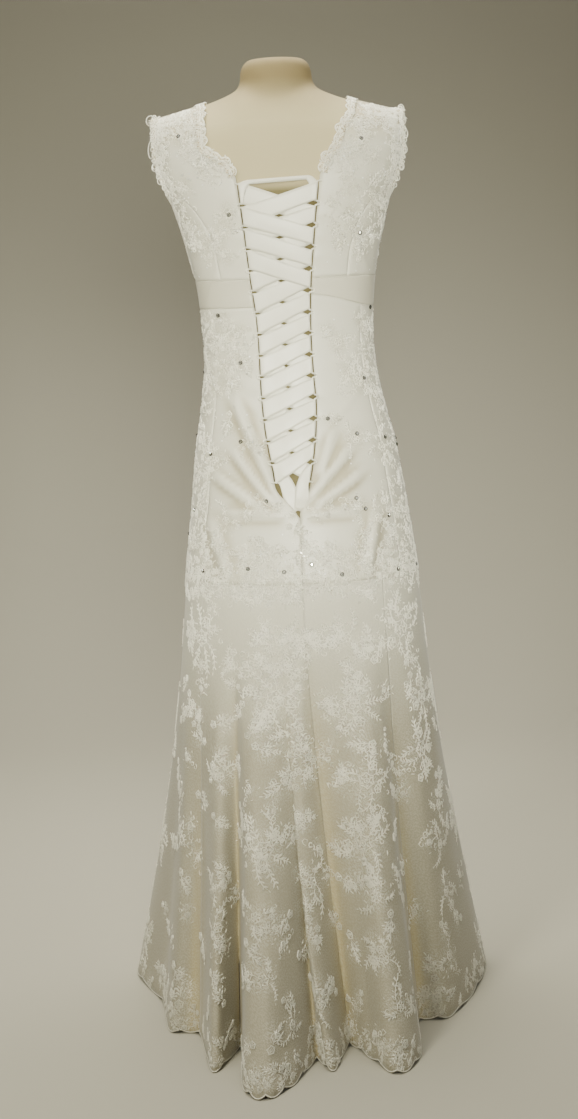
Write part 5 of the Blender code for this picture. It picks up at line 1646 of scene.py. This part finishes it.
neck_up = np.linspace(LACING_TOP + 0.002, SHOULDER_LEVEL, 220)
neck_down = np.linspace(SHOULDER_LEVEL, FRONT_NECK_LEVEL, 260)[1:]
arm_fall = np.linspace(SHOULDER_LEVEL, ARMHOLE, 260)
ARM_LOOPS = (
    (1, 1.416, 0.0080, 0.0072), (1, 1.371, 0.0140, 0.0046), (1, 1.342, 0.0060, 0.0040),
    (1, 1.322, 0.0055, 0.0036), (-1, 1.424, 0.0056, 0.0046), (-1, 1.402, 0.0060, 0.0036),
    (-1, 1.380, 0.0070, 0.0040), (-1, 1.356, 0.0058, 0.0034), (-1, 1.330, 0.0062, 0.0038),
    (-1, 1.312, 0.0050, 0.0034),
)
AROUND_LOOP = np.linspace(0, 2 * np.pi, 15)[:-1, None]
for word, side in (("left", 1), ("right", -1)):
    angles = np.concatenate((back_edge(neck_up, side), front_edge(neck_down, side)))
    edging(f"neck_edging_{word}", angles, np.concatenate((neck_up, neck_down)), side, False)
    angles = np.concatenate((armhole_back(arm_fall, side), armhole_front(arm_fall[::-1], side)[1:]))
    run = edging(f"armhole_edging_{word}", angles, np.concatenate((arm_fall, arm_fall[::-1][1:])), -side, True)
    place, along, outwards, facing = run
    behind = np.arange(len(place) // 2)
    loops = [row[1:] for row in ARM_LOOPS if row[0] == side]
    for level in np.arange(1.302, 1.432, 0.0085):
        loops.append((level, draw.uniform(0.0022, 0.0042), draw.uniform(0.0014, 0.0034)))
    for number, (level, half_along, half_out) in enumerate(loops):
        i = int(behind[np.argmin(np.abs(place[behind, 2] - level))])
        off_form = np.array((side, 0.12, 0.10)) / np.linalg.norm((side, 0.12, 0.10))
        upright = np.cross(off_form, (0, 1.0, 0))
        middle = place[i] + off_form * (half_out + 0.0008) + (0, 0.0015, 0)
        path = middle + upright * half_along * np.cos(AROUND_LOOP) + off_form * half_out * np.sin(AROUND_LOOP)
        made = tube(f"armhole_loop_{word}_{number + 1}", path, 0.0007, lace, closed=True, sides=5)
        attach(made, "root")
    print(word, len(loops), "open loops of cord at the armhole")

# %% Cord along the hem
t = np.arange(0, FOLD_COUNT, 1 / 24)
dips = 1 - np.abs(np.sin(np.pi * SCALLOPS_PER_FOLD * t / 2))
hem_height = HEM_SCALLOP * dips + 0.0012
hem = skirt_point(t, hem_height) + skirt_normal(t, hem_height) * 0.0012
hem_cord = tube("hem_cord", hem, 0.0008, lace, closed=True)
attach(hem_cord, "root")
print(f"hem cord {path_length(hem, 0)[-1]:.2f} m")


# %% [markdown]
# ## The lacing
#
# One satin ribbon joins the two back edges. It starts in the point of the V, climbs from loop to
# loop, runs straight across at the top and comes down again over itself. The ribbon is nearly as
# wide as the step between loops and passes twice, so it hides nearly all of the form. It is a list
# of straight runs and of turns round the cord, as the solid has it, with more points and a soft
# crown across its width.

# %% Loops of cord
CORD_RADIUS = 0.0012
CORD_INSET = 0.0050
CORD_ON_PANEL = 0.0035
RIBBON = 0.0008
RIBBON_END = 0.0245
RIBBON_LEFT_END = 0.0300
RIBBON_MIDDLE = 0.0285
LOWEST = RIBBON / 2 + 0.0006
TURN = CORD_RADIUS + 0.0007 + RIBBON / 2
CORD_LEVEL = LOWEST + TURN
SEWN_LEVEL = BAND_CLOTH + CORD_RADIUS + 0.0010
HIGHEST = LOWEST + 2 * TURN
LAYER = RIBBON + 0.0005


def opening_x(level, side):
    edge = OPENING_LEFT if side > 0 else OPENING_RIGHT
    return smooth(level, edge["level"], edge["x"])


def over_back(x, level, out):
    """A point over the opening, this far out from the plain body surface."""
    angle = angle_of(x, level)
    rise = pull_folds(np.asarray(x), np.asarray(level)) * np.clip(np.cos(angle) * 4, 0, 1)
    point = ring_point(angle, level)
    return point + normals_of(ring_point, angle, level, 1e-3, 1e-5) * (rise + out)[..., None]


for word, side in (("left", 1), ("right", -1)):
    levels, inset = [], []
    for k in range(LOOP_COUNT):
        fold = FIRST_FOLD - k * LOOP_PITCH
        root, straight = LOOP_PITCH / 2 - 0.0017, RIBBON_END / 2 + 0.0006
        levels += [fold + root, fold + straight, fold - straight, fold - root]
        inset += [-CORD_ON_PANEL, CORD_INSET, CORD_INSET, -CORD_ON_PANEL]
    levels, inset = np.array(levels), np.array(inset)
    x = opening_x(levels, side) - side * inset
    corners = over_back(x, levels, np.where(inset < 0, SEWN_LEVEL, CORD_LEVEL))
    run = np.arange(len(corners))
    dense_run = np.linspace(0, len(corners) - 1, (len(corners) - 1) * 4 + 1)
    path = np.stack([np.interp(dense_run, run, corners[:, k]) for k in range(3)], -1)
    path[1:-1] = (path[:-2] + 2 * path[1:-1] + path[2:]) / 4
    made = tube(f"loop_cord_{word}", path, CORD_RADIUS, ribbon_satin, sides=8)
    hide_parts(f"loops_{word}")
    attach(made, "root")
    print(f"loops {word}: {LOOP_COUNT}, {path_length(path, 0)[-1]:.2f} m of cord")


# %% The ribbon's route
def fold_place(k, side, across):
    """x and level on the cord at loop k, with across from -0.5 to 0.5 of the ribbon's width."""
    level = FIRST_FOLD - k * LOOP_PITCH + across * (RIBBON_LEFT_END if side > 0 else RIBBON_END)
    return opening_x(level, side) - side * CORD_INSET, level


ACROSS = np.linspace(-0.5, 0.5, 7)


def straight_run(start, end, ends, middle):
    """A run between two loops: straight in x and level, wider in its middle, easing to its middle height."""
    s = np.linspace(0, 1, 15)[:, None]
    bulge = np.sin(np.pi * s)
    out = ends[0] + (ends[1] - ends[0]) * s
    out = out + (middle - out) * np.minimum(bulge * 1.6, 1) + 0.0003 * bulge * np.cos(2 * np.pi * ACROSS)
    x0, z0 = fold_place(*start, ACROSS)
    x1, z1 = fold_place(*end, ACROSS)
    z = z0 + (z1 - z0) * s + ACROSS * (RIBBON_MIDDLE - (RIBBON_LEFT_END + RIBBON_END) / 2) * bulge
    return np.stack((x0 + (x1 - x0) * s, z, out), -1)


def turn_at(k, side, rising):
    """Half a circle round the cord, from under it to over it or back."""
    a = np.radians(np.linspace(-60, 60, 7) * (1 if rising else -1))[:, None]
    x, z = fold_place(k, side, ACROSS)
    return np.stack(np.broadcast_arrays(x + side * TURN * np.cos(a), z, CORD_LEVEL + TURN * np.sin(a)), -1)


def falls_on_top(k):
    return k in (1, 2, 3)


def lacing_run(k, rising_right):
    """The run between loops k and k + 1, over or under its partner."""
    if not rising_right:
        height, middle = (HIGHEST, LOWEST + 2 * LAYER) if falls_on_top(k) else (LOWEST, LOWEST)
        return straight_run((k, 1), (k + 1, -1), (height, height), middle)
    right = LOWEST if falls_on_top(k - 1) else HIGHEST
    left = LOWEST if falls_on_top(k + 1) else HIGHEST
    return straight_run((k, -1), (k + 1, 1), (right, left), LOWEST + LAYER)


def tucked_end(side, heights):
    """The ribbon's end: it turns down into the point of the V, narrows and goes under the panels."""
    x0, z0 = fold_place(LOOP_COUNT - 1, side, 0)
    s = np.linspace(0, 1, 13)[:, None]
    lean = np.radians(68) * np.minimum(s / 0.8, 1) ** 1.2
    width = RIBBON_END * (1 + 0.30 * np.sin(np.pi * np.minimum(s / 0.85, 1)) - 0.30 * s)
    out = np.interp(s, (0.0, 0.35, 0.75, 1.0), (*heights, -0.0006))
    x = x0 + (-0.0078 + side * 0.002 - x0) * s**0.7 - side * ACROSS * width * np.sin(lean)
    z = z0 - 0.058 * s**1.15 + ACROSS * width * np.cos(lean)
    return np.stack(np.broadcast_arrays(x, z, out), -1)


def top_run():
    """The run that joins the two topmost loops, drawn up into a narrow strip."""
    s = np.linspace(0, 1, 21)[:, None]
    narrow = np.clip(np.minimum(s, 1 - s) / 0.07, 0, 1)
    out = np.interp(s, (0, 0.07, 0.93, 1), (HIGHEST, LOWEST + LAYER, LOWEST + LAYER, LOWEST))
    out = out + 0.0009 * np.cos(2 * np.pi * ACROSS) * narrow
    x0, z0 = fold_place(0, 1, ACROSS)
    x1, _ = fold_place(0, -1, ACROSS)
    z = z0 + (FIRST_FOLD + 0.0145 + 0.004 * s + ACROSS * 0.0055 - z0) * narrow
    return np.stack(np.broadcast_arrays(x0 + (x1 - x0) * s, z, out), -1)


def descent(side):
    """Every run and turn from the topmost loop on this side down to the tucked end."""
    parts = []
    for k in range(LOOP_COUNT - 1):
        run = lacing_run(k, rising_right=side < 0)
        side = -side
        parts += [run, turn_at(k + 1, side, rising=run[-1, 0, 2] < CORD_LEVEL)]
    high = LOWEST + 2 * LAYER
    return parts + [tucked_end(side, (LOWEST,) * 3 if side > 0 else (HIGHEST, high, high))]


# %% Make the ribbon
climb = np.vstack(descent(1))[::-1]
route = np.vstack((climb, turn_at(0, 1, True), top_run(), turn_at(0, -1, True), *descent(-1)))
ribbon_points = over_back(route[..., 0], route[..., 1], route[..., 2])
along = np.gradient(ribbon_points, axis=0)
across = np.gradient(ribbon_points, axis=1)
ribbon_normal = np.cross(along, across)
ribbon_normal = ribbon_normal / np.maximum(np.linalg.norm(ribbon_normal, axis=-1, keepdims=True), 1e-9)
half = ribbon_normal * RIBBON / 2
made, size, _ = sheet_of("lacing", ribbon_points - half, ribbon_points + half, ribbon_satin)
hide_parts("lacing_ribbon")
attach(made, "root")
print(f"ribbon {size[1]:.2f} m long")


# %% [markdown]
# ## The dress form
#
# The torso is one moulded shell with a neck, covered in cloth with no seam behind. Its rings and
# a turned neck are two closed shapes that cross. A Remesh modifier joins them into one skin, and
# a Smooth modifier melts the corner where the neck leaves the shoulders.

# %% Torso and neck
FORM_BOTTOM = HERE["form_torso"][0][2]
NECK_TOP = HERE["form_torso"][1][2]
NECK_Y = -0.008
NECK_START = 1.375


def closed_rings(rings, first, last):
    """Triangles of a stack of rings, with a fan to a middle point at each end."""
    return np.vstack((rings.reshape(-1, 3), first, last)), ring_faces(*rings.shape[:2])


around = np.linspace(0, 2 * np.pi, 181)[:-1]
levels = np.concatenate((even_levels(FORM_BOTTOM, ARMHOLE, 0.008), shoulder_rows(ARMHOLE)[1:]))
torso_rings = ring_point(-around[None], levels[:, None], 0.0038, 0.0006, 0.178)
torso_points, torso_faces = closed_rings(torso_rings, torso_rings[0].mean(0), torso_rings[-1].mean(0))
profile = np.array((
    (NECK_RADIUS, NECK_START), (NECK_RADIUS, NECK_TOP - 0.052), (0.0568, NECK_TOP - 0.031),
    (0.0563, NECK_TOP - 0.0285), (0.0563, NECK_TOP - 0.0275), (0.0570, NECK_TOP - 0.0255),
    (0.0556, NECK_TOP - 0.015), (0.0510, NECK_TOP - 0.0065), (0.044, NECK_TOP - 0.0022),
    (0.030, NECK_TOP - 0.0006),
))
radius, rise = profile[:, :1], profile[:, 1:] + 0 * around[None]
neck_rings = np.stack((radius * np.sin(-around), NECK_Y + radius * np.cos(around), rise), -1)
neck_points, neck_faces = closed_rings(neck_rings, (0, NECK_Y, NECK_START), (0, NECK_Y, NECK_TOP - 0.0004))
both_points = np.vstack((torso_points, neck_points))
both_faces = np.vstack((torso_faces, neck_faces + len(torso_points)))
form = put_mesh("form_skin", both_points, both_faces, calico)
skin = form.modifiers.new("one skin", "REMESH")
skin.mode = "VOXEL"
skin.voxel_size = 0.0070
skin.use_smooth_shade = True
soften = form.modifiers.new("soften", "SMOOTH")
soften.factor = 0.5
soften.iterations = 8
graph = bpy.context.evaluated_depsgraph_get()
skinned = bpy.data.meshes.new_from_object(form.evaluated_get(graph))
form.modifiers.clear()
form.data = skinned
form.data.materials.clear()
form.data.materials.append(calico)
form.data.shade_smooth()
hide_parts("form_torso")
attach(form, "root")
print("form:", len(skinned.polygons), "faces")

# %% Stand
# The stand's turned solids are already the finished shape, so they only take their coating.
for name in ("stand_pole", "stand_base"):
    stand = frame["nodes"][name]
    stand.data.materials.clear()
    stand.data.materials.append(steel)


# %% [markdown]
# ## Crystals and sequins
#
# Flat-backed crystals of 4.4 mm sit in dark claws of 7 mm, here and there between the flowers.
# Each is a cut cone on a low ring. The table gives where the photograph shows them, and the front,
# which it hides, has nearly as many.

# %% Set the crystals
CRYSTALS = (
    (42.5, 1.395), (-30.5, 1.375), (24.0, 1.265), (-46.5, 1.230), (50.0, 1.110), (-72.0, 1.113),
    (32.5, 1.035), (95.5, 1.018), (-53.0, 1.002), (88.0, 0.917), (31.0, 0.912), (55.5, 0.892),
    (-18.5, 0.943), (-36.0, 0.917), (-62.0, 0.907), (-88.0, 0.900), (-87.5, 0.890), (15.5, 0.820),
    (-29.5, 0.818), (-34.5, 0.800), (-51.5, 0.785), (74.0, 0.800), (88.5, 0.757), (56.5, 0.707),
    (26.0, 0.715), (8.0, 0.710), (-4.0, 0.720), (-18.0, 0.702), (-53.0, 0.699), (-77.5, 0.697),
    (150, 1.300), (-150, 1.305), (162, 1.235), (-158, 1.240), (140, 1.190), (-142, 1.195), (120, 1.085),
    (-124, 1.080), (150, 1.040), (-146, 1.035), (118, 0.960), (-120, 0.950), (135, 0.860), (-138, 0.855),
    (172, 0.820), (-170, 0.825), (112, 0.720), (135, 0.708), (158, 0.715), (180, 0.706), (-158, 0.716),
    (-136, 0.705), (-112, 0.718),
)


def studs(name, angles, levels, rings, look, lift):
    """Small turned forms: circles of given radius and height about each normal, closed top and bottom."""
    centre, normal = body_point(angles, levels, lift), body_normals(angles, levels)
    first = np.cross(normal, (0, 0, 1.0))
    first = first / np.linalg.norm(first, axis=1, keepdims=True)
    second = np.cross(normal, first)
    a = np.linspace(0, 2 * np.pi, 9)[:-1]
    flat = first[:, None] * np.cos(a)[:, None] + second[:, None] * np.sin(a)[:, None]
    circles = [centre[:, None] + flat * radius + normal[:, None] * height for radius, height in rings]
    stack = np.stack(circles, 1)
    ends = np.stack((centre + normal * rings[0][1], centre + normal * rings[-1][1]), 1)
    points = np.concatenate((stack.reshape(len(centre), -1, 3), ends), 1)
    each = np.arange(len(centre))[:, None, None] * points.shape[1]
    faces = (ring_faces(len(rings), 8)[None] + each).reshape(-1, 3)
    made = put_mesh(name, points.reshape(-1, 3), faces, look)
    made.data.shade_flat()
    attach(made, "root")
    return made


crystal_angles = np.radians([row[0] for row in CRYSTALS])
crystal_levels = np.array([row[1] for row in CRYSTALS])
CLAW_RINGS = ((0.0033, 0.0), (0.0035, 0.0014), (0.0025, 0.0021))
CRYSTAL_RINGS = ((0.0021, 0.0016), (0.0022, 0.0021), (0.0014, 0.0032))
studs("crystal_claws", crystal_angles, crystal_levels, CLAW_RINGS, claw, 0.0018)
studs("crystals", crystal_angles, crystal_levels, CRYSTAL_RINGS, crystal, 0.0018)
print(len(CRYSTALS), "crystals")

# %% Scatter the sequins
draw_sequins = np.random.default_rng(21)
sequin_angles = draw_sequins.uniform(-np.pi, np.pi, 900)
sequin_levels = np.concatenate((draw_sequins.uniform(0.70, 1.11, 520), draw_sequins.uniform(1.17, 1.43, 380)))
clear = on_body(sequin_angles, sequin_levels)
near_side = np.abs(np.cos(sequin_angles)) < draw_sequins.uniform(0.3, 1.1, 900)
near_top = (sequin_levels > 1.31) | (sequin_levels < 0.75)
wanted = clear & (near_side | near_top)
SEQUIN_RINGS = ((0.0014, 0.0), (0.0008, 0.0005))
studs("sequins", sequin_angles[wanted], sequin_levels[wanted], SEQUIN_RINGS, sequin, 0.0030)
print(int(wanted.sum()), "sequins")


# %% [markdown]
# ## Studio
#
# The photograph has a grey-beige paper behind the dress that sweeps forward under it, and soft
# light from above the camera. A curved sheet of paper and four lamps do the same.

# %% Paper sweep
# From behind, the paper is left out of the picture, so the dress's front can be looked at too.
paper, tree, shader = new_material("background_paper")
finish(tree, shader, Base_Color=linear("#A5A193"), Roughness=0.95)
seen_from = node(tree, "ShaderNodeNewGeometry")
nothing = node(tree, "ShaderNodeBsdfTransparent")
one_sided = node(tree, "ShaderNodeMixShader", [("Fac", seen_from.outputs["Backfacing"])])
tree.links.new(shader.outputs["BSDF"], one_sided.inputs[1])
tree.links.new(nothing.outputs["BSDF"], one_sided.inputs[2])
tree.links.new(one_sided.outputs["Shader"], tree.nodes["Material Output"].inputs["Surface"])
SWEEP = 1.6
bend = np.linspace(0, np.pi / 2, 16)[1:]
sweep_y = np.concatenate((np.linspace(9, -SWEEP, 12), -SWEEP - SWEEP * np.sin(bend), np.full(3, -2 * SWEEP)))
sweep_z = np.concatenate((np.zeros(12), SWEEP - SWEEP * np.cos(bend), (3, 5, 8)))
sweep_x = np.linspace(-9, 9, 3)
grid = np.stack(np.broadcast_arrays(sweep_x[None], sweep_y[:, None], sweep_z[:, None]), -1)
index = np.arange(grid.shape[0] * 3).reshape(-1, 3)
quads = np.stack((index[:-1, :-1], index[:-1, 1:], index[1:, 1:], index[1:, :-1]), -1).reshape(-1, 4)
sweep = put_mesh("paper_sweep", grid.reshape(-1, 3) - (0, 0, 0.0005), quads[:, ::-1], paper)
print("paper sweep made")


# %% Lamps
def lamp(name, place, target, size, watts, colour, spread=180):
    """A square area lamp that faces a point. A grid on a soft box narrows its spread, in degrees."""
    data = bpy.data.lights.new(name, "AREA")
    data.shape = "SQUARE"
    data.size = size
    data.energy = watts
    data.color = linear(colour)[:3]
    data.spread = np.radians(spread)
    made = bpy.data.objects.new(name, data)
    backward = np.array(place, float) - np.array(target, float)
    backward = backward / np.linalg.norm(backward)
    right = np.cross((0, 0, 1.0), backward)
    right = right / np.linalg.norm(right)
    turn = np.eye(4)
    turn[:3, :3] = np.column_stack((right, np.cross(backward, right), backward))
    turn[:3, 3] = place
    made.matrix_world = Matrix(turn.tolist())
    bpy.context.scene.collection.objects.link(made)


lamp("key", (1.5, 2.5, 2.7), (0, 0, 1.0), 0.7, 84, "#FFFCE6")
lamp("fill", (-2.6, 2.4, 1.8), (0, 0, 1.0), 2.0, 11, "#F6F9F6")
lamp("front box", (-0.25, 3.3, 1.4), (0, 0, 0.92), 0.7, 7.5, "#FFFEEC", 34)
lamp("floor wash", (0.1, -0.7, 3.3), (0, -0.5, 0), 1.4, 62, "#FFFCEC", 110)
world = bpy.data.worlds.new("studio_air")
world.use_nodes = True
world.node_tree.nodes["Background"].inputs["Color"].default_value = linear("#E8E6E2")
world.node_tree.nodes["Background"].inputs["Strength"].default_value = 0.23
bpy.context.scene.world = world
